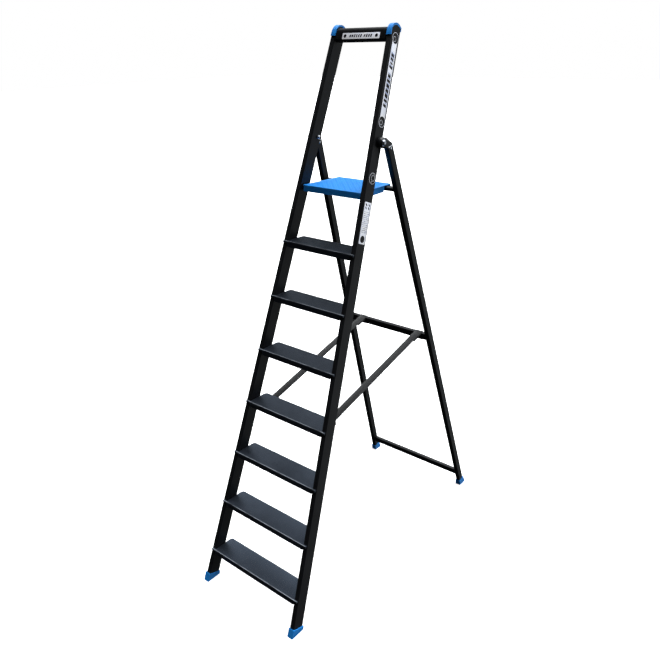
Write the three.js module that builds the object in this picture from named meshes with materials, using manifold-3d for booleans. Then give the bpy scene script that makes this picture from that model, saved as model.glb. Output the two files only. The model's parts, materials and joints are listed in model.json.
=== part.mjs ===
// Platform step ladder: seven treads and a folding platform between two aluminium stiles,
// a folding rear frame behind them and two webbing straps that limit the spread.
// Millimetres, +Z up. The climbing side faces -Y; the origin is under the middle of the ladder.
import * as THREE from "three";
import { mergeVertices } from "three/addons/utils/BufferGeometryUtils.js";
import Module from "manifold-3d";

const wasm = await Module();
wasm.setup();

const degrees = Math.PI / 180;
const GAP = 0.3; // clearance between pieces that touch
const SIDES = { left: -1, right: 1 };

// Overall stance
const FRONT_LEAN = 20 * degrees; // stiles, from the vertical
const REAR_LEAN = 17.6 * degrees; // rear legs, from the vertical
const REAR_REACH = 1418.1; // front face of the stiles to front face of the rear legs, at the floor

// Stiles: hollow rectangular tube, closer together towards the top
const STILE = { width: 23, depth: 60, corner: 2.5, wall: 1.8, bottom: 28, top: 2597 };
const STILE_SPREAD = 273.5; // centre line of a stile to the middle plane, at the floor
const STILE_TAPER = 2.95 * degrees;

// Rear legs and crossbars: smaller tube of the same kind
const LEG = { width: 24.5, depth: 34, corner: 3, wall: 1.6, bottom: 12, top: 2068 };
const LEG_SPREAD = 300.9;
const LEG_TAPER = 3.05 * degrees;
const WIDE_BAR = { height: 38, depth: 19, corner: 4, wall: 1.5 };
const PLATFORM_BAR = { height: 16, depth: 20, corner: 3, wall: 1.5 };
const CROSSBARS = {
  lower_crossbar: { middle: 84, section: WIDE_BAR },
  middle_crossbar: { middle: 1071, section: WIDE_BAR },
  upper_crossbar: { middle: 1872, section: PLATFORM_BAR },
};

// Treads
const TREAD_COUNT = 7;
const STEP_PITCH = 235;
const FIRST_TREAD = 162.5; // floor to the top of the lowest tread
const NOSING = 9.3; // how far a tread stands out in front of the stiles
const TREAD_REAR = 102; // front face of the stiles to the rear edge of a tread
const TREAD = { plate: 2.6, skin: 2, fascia: 27, rearSkirt: 22, flange: 8, corner: 20, end: 2.5 };
const NOSING_LIP = { height: 9, inset: 1.5 };

// Platform
const PLATFORM = { top: 1804, plate: 3.2, skin: 3, skirt: 27, frontY: 664.5, rearY: 900 };
const PLATFORM_HALF = { front: 157, rear: 144 };
const SKIRT_END = { bottomY: 843, topY: 852 }; // the side skirts stop short of the upper crossbar
const HOOK_LIP = { thickness: 4, drop: 12 };
const PLATFORM_PIVOT = { y: 680, z: 1790, radius: 4 };

// Hinge between the stiles and the rear frame, in the stile's own depth and length
const HINGE = { depth: 40.5, along: 2137, boltRadius: 5 };
const BOLT_HOLE = HINGE.boltRadius + GAP;
const COLLAR_TOP = 2077;
const KNUCKLE = { radius: 22, face: 15.5, setBack: 7, shoulder: 15, shoulderDepth: 8, shoulderAlong: 2092 };
const PLUG_DEPTH = 34;
const PLUG_RIVET = { along: 2057, radius: 3, head: 4.6 };

// Top crossbar between the stiles, and the blue caps
const TOP_BAR = { bottom: 2531, front: 2564, top: 2585, depth: 31, wall: 2.5 };
const CAP = { skin: 3.5, front: 2553, rise: 12 };
const ARCH_STEPS = 18;

// Feet
const FRONT_FOOT_WIDTH = 29;
const REAR_FOOT_WIDTH = 29;
const SOCKET_CLEARANCE = 0.4;

// Straps
const STRAP = { width: 40, thickness: 2.4, treadIndex: 4 };
const STRAP_CENTRES = { left: -155, right: 185 };
const STRAP_CLAMP = { width: 46, height: 13, thickness: 1.6 };

const FINISH = {
  black: new THREE.MeshStandardMaterial({ color: 0x17181a, roughness: 0.42, metalness: 0.35 }),
  tread: new THREE.MeshStandardMaterial({ color: 0x2c333a, roughness: 0.5, metalness: 0.4 }),
  blue: new THREE.MeshStandardMaterial({ color: 0x1d66d6, roughness: 0.45, metalness: 0 }),
  plastic: new THREE.MeshStandardMaterial({ color: 0x141417, roughness: 0.5, metalness: 0 }),
  zinc: new THREE.MeshStandardMaterial({ color: 0xc4c8ce, roughness: 0.28, metalness: 1 }),
  webbing: new THREE.MeshStandardMaterial({ color: 0x28282b, roughness: 0.85, metalness: 0 }),
};

// Groups: the tilted planes of the two frames, and the level ladder that holds both
const FRONT_TOE = -3.7; // front edge of the front feet
const REAR_HEEL = REAR_REACH + 45.5; // rear edge of the rear feet
const ladder = new THREE.Group();
ladder.position.y = -(FRONT_TOE + REAR_HEEL) / 2;
const frontFrame = new THREE.Group();
frontFrame.rotation.x = -FRONT_LEAN;
const rearFrame = new THREE.Group();
rearFrame.position.y = REAR_REACH;
rearFrame.rotation.x = REAR_LEAN;
ladder.add(frontFrame, rearFrame);

// --- shapes and solids -------------------------------------------------------

function polygon(points) {
  return new THREE.Shape(points.map(([x, y]) => new THREE.Vector2(x, y)));
}

function roundedRectangle(width, depth, radius) {
  const x = width / 2;
  const y = depth / 2;
  const shape = new THREE.Shape();
  shape.moveTo(x, y - radius);
  shape.absarc(x - radius, y - radius, radius, 0, Math.PI / 2);
  shape.absarc(radius - x, y - radius, radius, Math.PI / 2, Math.PI);
  shape.absarc(radius - x, radius - y, radius, Math.PI, 1.5 * Math.PI);
  shape.absarc(x - radius, radius - y, radius, 1.5 * Math.PI, 2 * Math.PI);
  return shape;
}

function tubeSection(width, depth, corner, wall) {
  const shape = roundedRectangle(width, depth, corner);
  const bore = roundedRectangle(width - 2 * wall, depth - 2 * wall, corner - wall / 2);
  shape.holes.push(bore);
  return shape;
}

function extrudeUp(shape, from, to) {
  const options = { depth: to - from, bevelEnabled: false, curveSegments: 4 };
  return new THREE.ExtrudeGeometry(shape, options).translate(0, 0, from);
}

// A shape drawn as a side view (y, z), made solid across the ladder
function extrudeAcross(shape, from, to, curveSegments = 6) {
  const options = { depth: to - from, bevelEnabled: false, curveSegments };
  const axes = new THREE.Matrix4().makeBasis(
    new THREE.Vector3(0, 1, 0),
    new THREE.Vector3(0, 0, 1),
    new THREE.Vector3(1, 0, 0),
  );
  return new THREE.ExtrudeGeometry(shape, options).translate(0, 0, from).applyMatrix4(axes);
}

function rodAcross(radius, from, to, y, z, segments = 20) {
  const rod = new THREE.CylinderGeometry(radius, radius, to - from, segments);
  return rod.rotateZ(Math.PI / 2).translate((from + to) / 2, y, z);
}

// A turned piece whose axis runs across the ladder; the profile holds [radius, x] pairs
function turnedAcross(profile, y, z, segments = 24) {
  const points = profile.map(([radius, x]) => new THREE.Vector2(radius, x));
  return new THREE.LatheGeometry(points, segments).rotateZ(-Math.PI / 2).translate(0, y, z);
}

function toSolid(geometry) {
  const bare = geometry.index ? geometry.toNonIndexed() : geometry.clone();
  bare.deleteAttribute("normal");
  bare.deleteAttribute("uv");
  const merged = mergeVertices(bare, 1e-4);
  const vertProperties = new Float32Array(merged.attributes.position.array);
  const triVerts = new Uint32Array(merged.index.array);
  return new wasm.Manifold(new wasm.Mesh({ numProp: 3, vertProperties, triVerts }));
}

function toGeometry(solid) {
  const mesh = solid.getMesh();
  const geometry = new THREE.BufferGeometry();
  geometry.setAttribute("position", new THREE.BufferAttribute(mesh.vertProperties, 3));
  geometry.setIndex(new THREE.BufferAttribute(mesh.triVerts, 1));
  const flat = geometry.toNonIndexed();
  flat.computeVertexNormals();
  return flat;
}

function cut(geometry, ...tools) {
  return toGeometry(tools.reduce((solid, tool) => solid.subtract(toSolid(tool)), toSolid(geometry)));
}

function join(geometry, ...others) {
  return toGeometry(others.reduce((solid, other) => solid.add(toSolid(other)), toSolid(geometry)));
}

function common(geometry, other) {
  return toGeometry(toSolid(geometry).intersect(toSolid(other)));
}

function hull(...geometries) {
  return toGeometry(wasm.Manifold.hull(geometries.map(toSolid)));
}

function piece(parent, name, geometry, finish) {
  const mesh = new THREE.Mesh(geometry, finish);
  mesh.name = name;
  parent.add(mesh);
  return mesh;
}

function eachSide(build) {
  for (const [side, sign] of Object.entries(SIDES)) build(side, sign);
}

// --- places worked out from the driving dimensions ---------------------------

function frontToLevel(depth, along) {
  return {
    y: depth * Math.cos(FRONT_LEAN) + along * Math.sin(FRONT_LEAN),
    z: along * Math.cos(FRONT_LEAN) - depth * Math.sin(FRONT_LEAN),
  };
}

function levelToFront(y, z) {
  return {
    depth: y * Math.cos(FRONT_LEAN) - z * Math.sin(FRONT_LEAN),
    along: y * Math.sin(FRONT_LEAN) + z * Math.cos(FRONT_LEAN),
  };
}

function levelToRear(y, z) {
  return {
    depth: (y - REAR_REACH) * Math.cos(REAR_LEAN) + z * Math.sin(REAR_LEAN),
    along: z * Math.cos(REAR_LEAN) - (y - REAR_REACH) * Math.sin(REAR_LEAN),
  };
}

function rearToLevel(depth, along) {
  return {
    y: REAR_REACH + depth * Math.cos(REAR_LEAN) - along * Math.sin(REAR_LEAN),
    z: depth * Math.sin(REAR_LEAN) + along * Math.cos(REAR_LEAN),
  };
}

const stileInner = (along) => STILE_SPREAD - STILE.width / 2 - along * Math.tan(STILE_TAPER);
const stileOuter = (along) => STILE_SPREAD + STILE.width / 2 - along * Math.tan(STILE_TAPER);
const legInner = (along) => LEG_SPREAD - LEG.width / 2 - along * Math.tan(LEG_TAPER);
const legOuter = (along) => LEG_SPREAD + LEG.width / 2 - along * Math.tan(LEG_TAPER);

const hingeLevel = frontToLevel(HINGE.depth, HINGE.along);
const hingeRear = levelToRear(hingeLevel.y, hingeLevel.z);
const platformPivot = levelToFront(PLATFORM_PIVOT.y, PLATFORM_PIVOT.z);
const treadHeight = (index) => FIRST_TREAD + STEP_PITCH * (index - 1);

// Geometry drawn in a frame's plane (depth, along), turned to follow a tapering tube
function followTaper(geometry, sign, spread, taper) {
  return geometry.rotateY(-sign * taper).translate(sign * spread, 0, 0);
}

// The reverse order: a side view in the frame's plane, mirrored for the left side
function mirrored(sign, from, to) {
  return sign > 0 ? [from, to] : [-to, -from];
}

// --- stiles, caps and front feet ---------------------------------------------

// The arch that the top of a stile and its cap follow, (depth, along), front to rear
function archCurve(rise, reach) {
  const knots = [
    [-reach, 2562 + rise],
    [5, 2581 + rise],
    [16, 2591 + rise],
    [30, 2595.5 + rise],
    [45, 2594.5 + rise],
    [60 + reach, 2586 + rise],
  ];
  const curve = new THREE.SplineCurve(knots.map(([x, y]) => new THREE.Vector2(x, y)));
  return curve.getPoints(ARCH_STEPS).map(({ x, y }) => [x, y]);
}

function stileTube(grow, from, to) {
  const { width, depth, corner, wall } = STILE;
  const shape = grow > 0
    ? roundedRectangle(width + 2 * grow, depth + 2 * grow, corner)
    : tubeSection(width, depth, corner, wall);
  return extrudeUp(shape, from, to).translate(0, depth / 2, 0);
}

function buildStile(side, sign) {
  const tube = followTaper(stileTube(0, STILE.bottom, STILE.top), sign, STILE_SPREAD, STILE_TAPER);
  const overArch = polygon([...archCurve(0, 5), [70, 2640], [-10, 2640]]);
  const waste = extrudeAcross(overArch, ...mirrored(sign, 100, 190));
  const hingeHole = rodAcross(BOLT_HOLE, ...mirrored(sign, 120, 200), HINGE.depth, HINGE.along);
  const pivotWall = mirrored(sign, stileInner(platformPivot.along) - 5, stileInner(platformPivot.along) + 5);
  const pivotRadius = PLATFORM_PIVOT.radius + GAP;
  const pivotHole = rodAcross(pivotRadius, ...pivotWall, platformPivot.depth, platformPivot.along);
  piece(frontFrame, `${side}_stile`, cut(tube, waste, hingeHole, pivotHole), FINISH.black);
}

function buildCap(side, sign) {
  const { skin, front, rise } = CAP;
  const arch = archCurve(rise, skin);
  arch[0] = [-skin, front + 8];
  const outline = polygon([[-skin, front], ...arch, [STILE.depth + skin, 2583], [STILE.depth / 2, 2570], [4, front]]);
  const half = STILE.width / 2;
  const bumper = followTaper(extrudeAcross(outline, -half, half), sign, STILE_SPREAD, STILE_TAPER);
  const around = followTaper(stileTube(GAP, 2400, 2700), sign, STILE_SPREAD, STILE_TAPER);
  const overArch = polygon([...archCurve(GAP, 8), [80, 2700], [-20, 2700]]);
  const above = extrudeAcross(overArch, ...mirrored(sign, 100, 190));
  const pocket = toGeometry(toSolid(around).subtract(toSolid(above)));
  piece(frontFrame, `${side}_top_cap`, cut(bumper, pocket), FINISH.blue);
}

function buildFrontFoot(side, sign) {
  const sleeveTop = 40;
  const lowerFront = frontToLevel(-3.5, sleeveTop);
  const lowerRear = frontToLevel(STILE.depth + 3.5, sleeveTop);
  const outline = polygon([[FRONT_TOE, 0], [70, 0], [lowerRear.y, lowerRear.z], [lowerFront.y, lowerFront.z]]);
  const half = FRONT_FOOT_WIDTH / 2;
  const centre = sign * (STILE_SPREAD - 1);
  const boot = extrudeAcross(outline, centre - half, centre + half);
  const socket = followTaper(
    stileTube(SOCKET_CLEARANCE, STILE.bottom - SOCKET_CLEARANCE, 120), sign, STILE_SPREAD, STILE_TAPER);
  piece(ladder, `${side}_front_foot`, cut(boot, socket.rotateX(-FRONT_LEAN)), FINISH.blue);
}

// --- top crossbar ------------------------------------------------------------

function buildTopCrossbar() {
  const { bottom, front, top, depth, wall } = TOP_BAR;
  const outline = new THREE.Shape();
  outline.moveTo(0.5, bottom + 3);
  outline.lineTo(0.5, front);
  outline.quadraticCurveTo(2, top - 2, 16, top);
  outline.lineTo(depth - 6, top);
  outline.quadraticCurveTo(depth, top, depth, top - 6);
  outline.lineTo(depth, bottom + 3);
  outline.quadraticCurveTo(depth, bottom, depth - 3, bottom);
  outline.lineTo(3.5, bottom);
  const bore = new THREE.Path();
  bore.moveTo(0.5 + wall, bottom + wall);
  bore.lineTo(depth - wall, bottom + wall);
  bore.lineTo(depth - wall, top - wall);
  bore.lineTo(16, top - wall);
  bore.quadraticCurveTo(5, top - wall - 2, 0.5 + wall, front - 1);
  outline.holes.push(bore);
  const half = stileInner(top) - GAP;
  piece(frontFrame, "top_crossbar", extrudeAcross(outline, -half, half), FINISH.black);
}

// --- treads ------------------------------------------------------------------

function treadProfile() {
  const { plate, skin, fascia, rearSkirt, flange } = TREAD;
  const rear = TREAD_REAR;
  const front = -NOSING;
  return polygon([
    [front, -fascia + 1], [front, -1.5], [front + 1.5, 0], [rear - 1.5, 0], [rear, -1.5],
    [rear, -rearSkirt], [rear - flange, -rearSkirt], [rear - flange, -rearSkirt + skin],
    [rear - skin, -rearSkirt + skin], [rear - skin, -plate],
    [69, -plate], [69, -14], [67, -14], [67, -plate], [27, -plate], [27, -14], [25, -14], [25, -plate],
    [front + skin, -plate], [front + skin, -fascia + skin], [front + flange, -fascia + skin],
    [front + flange, -fascia], [front + 1, -fascia],
  ]);
}

function treadPlan(half) {
  const { corner } = TREAD;
  const plan = new THREE.Shape();
  plan.moveTo(-half, -NOSING - 1);
  plan.lineTo(half, -NOSING - 1);
  plan.lineTo(half, TREAD_REAR - corner);
  plan.quadraticCurveTo(half, TREAD_REAR + 1, half - corner, TREAD_REAR + 1);
  plan.lineTo(corner - half, TREAD_REAR + 1);
  plan.quadraticCurveTo(-half, TREAD_REAR + 1, -half, TREAD_REAR - corner);
  return plan;
}

// The wall that closes each end, where the tread is fixed to its stile
function treadEnd() {
  const { fascia, rearSkirt } = TREAD;
  return polygon([
    [1 - NOSING, -fascia + 1], [1 - NOSING, -1], [TREAD_REAR - 1, -1], [TREAD_REAR - 1, -rearSkirt + 1],
  ]);
}

// The end of the nosing that laps over the front of each stile
function nosingLip(half) {
  const slope = Math.tan(FRONT_LEAN);
  const clear = 0.6;
  const { height } = NOSING_LIP;
  const outline = polygon([
    [-NOSING, -1.5], [1.5 - NOSING, 0], [-clear, 0], [-clear - height * slope, -height], [-NOSING, -height],
  ]);
  return extrudeAcross(outline, -half, half);
}

function buildTread(index) {
  const height = treadHeight(index);
  const frontLine = height * Math.tan(FRONT_LEAN);
  const { along } = levelToFront(frontLine + TREAD_REAR, height);
  const half = stileInner(along) - GAP;
  const profile = extrudeAcross(treadProfile(), -half, half);
  const ends = [[-half, TREAD.end - half], [half - TREAD.end, half]].map(([from, to]) =>
    extrudeAcross(treadEnd(), from, to));
  const body = common(join(profile, ...ends), extrudeUp(treadPlan(half), -TREAD.fascia - 1, 1));
  const lip = nosingLip(stileOuter(along) - NOSING_LIP.inset);
  const tread = piece(ladder, `tread_${index}`, join(body, lip), FINISH.tread);
  tread.position.set(0, frontLine, height);
}

// --- rear frame --------------------------------------------------------------

function legTube(grow, from, to) {
  const { width, depth, corner, wall } = LEG;
  const shape = grow === 0
    ? tubeSection(width, depth, corner, wall)
    : roundedRectangle(width + 2 * grow, depth + 2 * grow, corner);
  return extrudeUp(shape, from, to).translate(0, depth / 2, 0);
}

function rivetHole(sign) {
  const { radius, along } = PLUG_RIVET;
  return rodAcross(radius + GAP, ...mirrored(sign, 150, 230), LEG.depth / 2, along);
}

function buildLeg(side, sign) {
  const tube = followTaper(legTube(0, LEG.bottom, LEG.top), sign, LEG_SPREAD, LEG_TAPER);
  piece(rearFrame, `${side}_rear_leg`, cut(tube, rivetHole(sign)), FINISH.black);
}

function buildCrossbar(name, { middle, section }) {
  const { height, depth, corner, wall } = section;
  const tube = tubeSection(depth, height, corner, wall);
  const half = legInner(middle + height / 2) - GAP;
  const bar = extrudeAcross(tube, -half, half, 4);
  piece(rearFrame, name, bar, FINISH.black).position.set(0, LEG.depth / 2, middle);
}

// Outer face of the hinge fitting, where the bolt's washer sits
const knuckleOuter = () => legOuter(hingeRear.along) - KNUCKLE.setBack;

// Hinge fitting: a round head on the bolt, cranked forward of the leg, and a plug in the leg's end
function buildKnuckle(side, sign) {
  const { depth: y, along: z } = hingeRear;
  const { radius, face, setBack, shoulder, shoulderDepth, shoulderAlong } = KNUCKLE;
  const inner = legInner(z);
  const outer = knuckleOuter();
  const rim = mirrored(sign, inner, outer - setBack);
  const { width, depth, wall, corner } = LEG;
  const collar = extrudeUp(roundedRectangle(width, depth, corner), LEG.top + GAP, COLLAR_TOP);
  const head = hull(
    rodAcross(radius, ...rim, y, z),
    rodAcross(face, ...mirrored(sign, inner, outer), y, z),
    rodAcross(shoulder, ...rim, shoulderDepth, shoulderAlong),
    followTaper(collar.translate(0, depth / 2, 0), sign, LEG_SPREAD, LEG_TAPER),
  );
  const fit = wall + GAP;
  const plugShape = roundedRectangle(width - 2 * fit, depth - 2 * fit, corner - 1);
  const plug = extrudeUp(plugShape, LEG.top - PLUG_DEPTH, LEG.top + 2).translate(0, depth / 2, 0);
  const fitting = join(head, followTaper(plug, sign, LEG_SPREAD, LEG_TAPER));
  const boltHole = rodAcross(BOLT_HOLE, ...mirrored(sign, 150, 230), y, z);
  const seat = rodAcross(face, ...mirrored(sign, outer, 230), y, z);
  const knuckle = cut(fitting, boltHole, seat, rivetHole(sign));
  piece(rearFrame, `${side}_hinge_knuckle`, knuckle, FINISH.plastic);
}

function buildPlugRivet(side, sign) {
  const { radius, head, along } = PLUG_RIVET;
  const outer = sign * (legOuter(along) + 0.5);
  const inner = sign * (legInner(along) - 0.5);
  const profile = [
    [0, inner - sign * 1.6], [head - 1, inner - sign * 1.2], [head, inner], [radius, inner],
    [radius, outer], [head, outer], [head - 1, outer + sign * 1.5], [0, outer + sign * 2.2],
  ];
  const ordered = sign > 0 ? profile : profile.reverse();
  piece(rearFrame, `${side}_plug_rivet`, turnedAcross(ordered, LEG.depth / 2, along, 16), FINISH.zinc);
}

function buildRearFoot(side, sign) {
  const sleeveTop = 32;
  const upperFront = rearToLevel(-3.5, sleeveTop);
  const upperRear = rearToLevel(LEG.depth + 3.5, sleeveTop);
  const outline = polygon([
    [REAR_REACH - 8, 0], [REAR_HEEL, 0], [upperRear.y, upperRear.z], [upperFront.y, upperFront.z],
  ]);
  const half = REAR_FOOT_WIDTH / 2;
  const centre = sign * (LEG_SPREAD - 1);
  const boot = extrudeAcross(outline, centre - half, centre + half);
  const socket = followTaper(
    legTube(SOCKET_CLEARANCE, LEG.bottom - SOCKET_CLEARANCE, 120), sign, LEG_SPREAD, LEG_TAPER);
  socket.rotateX(REAR_LEAN).translate(0, REAR_REACH, 0);
  piece(ladder, `${side}_rear_foot`, cut(boot, socket), FINISH.blue);
}

// --- hinge hardware ----------------------------------------------------------

function buildHingeBolt(side, sign) {
  const seat = knuckleOuter() + 0.9;
  const tip = stileInner(HINGE.along) - 7;
  const { boltRadius } = HINGE;
  const domeRadius = 13;
  const domeHeight = 9;
  const profile = [[0, tip], [boltRadius, tip], [boltRadius, seat + 1.4], [domeRadius, seat + 1.4]];
  const steps = 5;
  for (let step = 1; step < steps; step += 1) {
    const angle = (step / steps) * (Math.PI / 2);
    profile.push([domeRadius * Math.cos(angle), seat + 1.4 + domeHeight * Math.sin(angle)]);
  }
  profile.push([0, seat + 1.4 + domeHeight]);
  const bolt = turned(profile, sign);
  piece(frontFrame, `${side}_hinge_bolt`, bolt, FINISH.zinc);
  const washer = [
    [BOLT_HOLE, seat], [14, seat], [14, seat + 1.1], [BOLT_HOLE, seat + 1.1], [BOLT_HOLE, seat],
  ];
  piece(frontFrame, `${side}_hinge_washer`, turned(washer, sign), FINISH.zinc);
}

// A turned piece on the hinge bolt's axis, mirrored for the left side
function turned(profile, sign) {
  const placed = profile.map(([radius, x]) => [radius, sign * x]);
  return turnedAcross(sign > 0 ? placed : placed.reverse(), HINGE.depth, HINGE.along);
}

function ringProfile(inner, outer, from, to) {
  return [[inner, from], [outer, from], [outer, to], [inner, to], [inner, from]];
}

function buildHingeInternals(side, sign) {
  const outerFace = stileOuter(HINGE.along);
  const innerFace = stileInner(HINGE.along);
  const knuckleFace = legInner(hingeRear.along);
  const spacer = ringProfile(BOLT_HOLE, 9, outerFace + 0.65, knuckleFace - 0.3);
  piece(frontFrame, `${side}_hinge_spacer`, turned(spacer, sign), FINISH.plastic);
  const sleeve = ringProfile(BOLT_HOLE, 7.5, innerFace + STILE.wall + 0.6, outerFace - STILE.wall - 0.6);
  piece(frontFrame, `${side}_hinge_sleeve`, turned(sleeve, sign), FINISH.zinc);
  const base = innerFace - 0.7;
  const nut = [
    [BOLT_HOLE, base], [BOLT_HOLE, base - 7], [0, base - 7], [0, base - 10], [5, base - 9],
    [8, base - 6.5], [9, base - 3], [9, base],  [BOLT_HOLE, base],
  ];
  piece(frontFrame, `${side}_hinge_nut`, turned(nut, sign), FINISH.zinc);
}

// --- platform ----------------------------------------------------------------

function platformPlan(inset, frontY, rearY, corner) {
  const length = PLATFORM.rearY - PLATFORM.frontY;
  const halfAt = (y) => {
    const share = (y - PLATFORM.frontY) / length;
    return PLATFORM_HALF.front + share * (PLATFORM_HALF.rear - PLATFORM_HALF.front) - inset;
  };
  const front = halfAt(frontY);
  const rear = halfAt(rearY);
  const plan = new THREE.Shape();
  plan.moveTo(-front + corner, frontY);
  plan.lineTo(front - corner, frontY);
  plan.quadraticCurveTo(front, frontY, front, frontY + corner);
  plan.lineTo(rear, rearY - corner);
  plan.quadraticCurveTo(rear, rearY, rear - corner, rearY);
  plan.lineTo(-rear + corner, rearY);
  plan.quadraticCurveTo(-rear, rearY, -rear, rearY - corner);
  plan.lineTo(-front, frontY + corner);
  plan.quadraticCurveTo(-front, frontY, -front + corner, frontY);
  return plan;
}

function buildPlatform() {
  const { top, plate, skin, skirt, frontY, rearY } = PLATFORM;
  const under = top - plate;
  const corner = 8;
  const slab = extrudeUp(platformPlan(0, frontY, rearY, corner), under, top);
  const pan = extrudeUp(platformPlan(0, frontY, SKIRT_END.topY, corner), top - skirt, top);
  const hollow = extrudeUp(
    platformPlan(skin, frontY + skin, SKIRT_END.bottomY - 16, corner - skin), top - skirt - 1, under);
  const behind = polygon([
    [SKIRT_END.bottomY, top - skirt - 1], [SKIRT_END.topY, under], [SKIRT_END.topY + 20, under],
    [SKIRT_END.topY + 20, top - skirt - 1],
  ]);
  const slanted = extrudeAcross(behind, -200, 200);
  const { thickness, drop } = HOOK_LIP;
  const hook = extrudeUp(platformPlan(0, rearY - thickness - 5, rearY, 2), top - drop, top);
  const pinRadius = PLATFORM_PIVOT.radius + GAP;
  const pinHole = rodAcross(pinRadius, -200, 200, PLATFORM_PIVOT.y, PLATFORM_PIVOT.z);
  const shell = toGeometry(toSolid(pan).subtract(toSolid(hollow)).subtract(toSolid(slanted)));
  piece(ladder, "platform", cut(join(shell, slab, hook), pinHole), FINISH.blue);
}

function buildPlatformPivot(side, sign) {
  const { y, z, radius } = PLATFORM_PIVOT;
  const skirtInner = PLATFORM_HALF.front - PLATFORM.skin - 1.6;
  const wall = stileInner(platformPivot.along) + STILE.wall;
  const profile = [
    [0, skirtInner - 2.4], [7, skirtInner - 2.4], [7, skirtInner], [radius, skirtInner],
    [radius, wall + 4], [0, wall + 4],
  ].map(([r, x]) => [r, sign * x]);
  const pin = turnedAcross(sign > 0 ? profile : profile.reverse(), y, z, 16);
  piece(ladder, `${side}_platform_pin`, pin, FINISH.zinc);
  const bush = ringProfile(radius + GAP, 8, PLATFORM_HALF.front + 0.4, wall - STILE.wall - 0.8)
    .map(([r, x]) => [r, sign * x]);
  const ring = turnedAcross(sign > 0 ? bush : bush.reverse(), y, z, 16);
  piece(ladder, `${side}_platform_bush`, ring, FINISH.zinc);
}

// --- straps ------------------------------------------------------------------

function buildStrap(side) {
  const height = treadHeight(STRAP.treadIndex);
  const from = { y: height * Math.tan(FRONT_LEAN) + TREAD_REAR + 4.5, z: height - 4 };
  const { middle, section } = CROSSBARS.middle_crossbar;
  const crown = rearToLevel((LEG.depth - section.depth) / 2, middle + section.height / 2);
  const to = { y: crown.y - 5, z: crown.z - 6 };
  const length = Math.hypot(to.y - from.y, to.z - from.z);
  const band = piece(
    ladder, `${side}_strap`, new THREE.BoxGeometry(STRAP.width, length, STRAP.thickness), FINISH.webbing);
  band.position.set(STRAP_CENTRES[side], (from.y + to.y) / 2, (from.z + to.z) / 2);
  band.rotation.x = Math.atan2(to.z - from.z, to.y - from.y);
}

function buildStrapClamp(side) {
  const height = treadHeight(STRAP.treadIndex);
  const rear = height * Math.tan(FRONT_LEAN) + TREAD_REAR;
  const { width, height: tall, thickness } = STRAP_CLAMP;
  const plate = new THREE.BoxGeometry(width, thickness, tall);
  const clamp = piece(ladder, `${side}_strap_clamp`, plate, FINISH.zinc);
  clamp.position.set(STRAP_CENTRES[side], rear + GAP + thickness / 2, height - TREAD.rearSkirt + tall / 2);
}

// --- assembly ----------------------------------------------------------------

eachSide(buildStile);
eachSide(buildCap);
eachSide(buildFrontFoot);
buildTopCrossbar();
for (let index = 1; index <= TREAD_COUNT; index += 1) buildTread(index);
eachSide(buildLeg);
for (const [name, bar] of Object.entries(CROSSBARS)) buildCrossbar(name, bar);
eachSide(buildKnuckle);
eachSide(buildPlugRivet);
eachSide(buildRearFoot);
eachSide(buildHingeBolt);
eachSide(buildHingeInternals);
buildPlatform();
eachSide(buildPlatformPivot);
eachSide(buildStrap);
eachSide(buildStrapClamp);

export default ladder;
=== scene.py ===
"""Platform step ladder: finished pieces, surfaces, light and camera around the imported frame.

Lengths are in metres. MM turns a drawing size in millimetres into metres.
The climbing side faces -Y, the rear frame stands at +Y and +Z is up.
"""

import json
import math

import bmesh
import bpy
from mathutils import Matrix, Vector
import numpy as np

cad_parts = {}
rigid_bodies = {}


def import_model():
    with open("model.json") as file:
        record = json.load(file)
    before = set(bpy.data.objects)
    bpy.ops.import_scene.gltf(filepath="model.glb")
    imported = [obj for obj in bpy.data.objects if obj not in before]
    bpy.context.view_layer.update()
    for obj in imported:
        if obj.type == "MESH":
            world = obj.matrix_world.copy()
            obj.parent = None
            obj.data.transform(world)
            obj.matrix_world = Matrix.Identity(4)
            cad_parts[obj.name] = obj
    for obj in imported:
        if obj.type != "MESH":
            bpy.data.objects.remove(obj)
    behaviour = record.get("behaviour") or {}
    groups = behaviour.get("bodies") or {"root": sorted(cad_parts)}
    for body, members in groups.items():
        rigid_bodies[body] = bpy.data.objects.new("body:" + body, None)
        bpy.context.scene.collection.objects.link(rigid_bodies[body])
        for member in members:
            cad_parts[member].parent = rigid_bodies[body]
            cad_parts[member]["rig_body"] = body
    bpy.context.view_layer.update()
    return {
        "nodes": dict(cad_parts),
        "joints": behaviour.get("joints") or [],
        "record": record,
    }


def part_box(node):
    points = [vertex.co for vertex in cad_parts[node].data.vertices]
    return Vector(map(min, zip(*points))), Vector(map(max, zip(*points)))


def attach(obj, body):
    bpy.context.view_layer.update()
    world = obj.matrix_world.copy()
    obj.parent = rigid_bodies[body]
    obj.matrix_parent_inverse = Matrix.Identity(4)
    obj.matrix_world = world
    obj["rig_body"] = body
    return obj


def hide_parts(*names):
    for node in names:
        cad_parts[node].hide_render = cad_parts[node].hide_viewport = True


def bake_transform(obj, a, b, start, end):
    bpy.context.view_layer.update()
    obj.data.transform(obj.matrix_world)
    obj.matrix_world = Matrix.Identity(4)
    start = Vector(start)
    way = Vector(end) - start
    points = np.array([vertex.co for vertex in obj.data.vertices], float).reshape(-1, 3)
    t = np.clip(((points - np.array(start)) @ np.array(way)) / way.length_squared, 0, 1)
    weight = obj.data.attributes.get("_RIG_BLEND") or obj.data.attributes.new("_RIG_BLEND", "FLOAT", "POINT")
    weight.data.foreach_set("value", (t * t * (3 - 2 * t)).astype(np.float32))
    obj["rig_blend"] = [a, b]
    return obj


bl_info = {
    "name": "Platform Step Ladder",
    "version": (1, 0, 0),
    "blender": (4, 5, 0),
    "location": "3D View > Sidebar > Step Ladder",
    "description": "Finished pieces and surfaces for a folding platform step ladder",
    "category": "Object",
}

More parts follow.
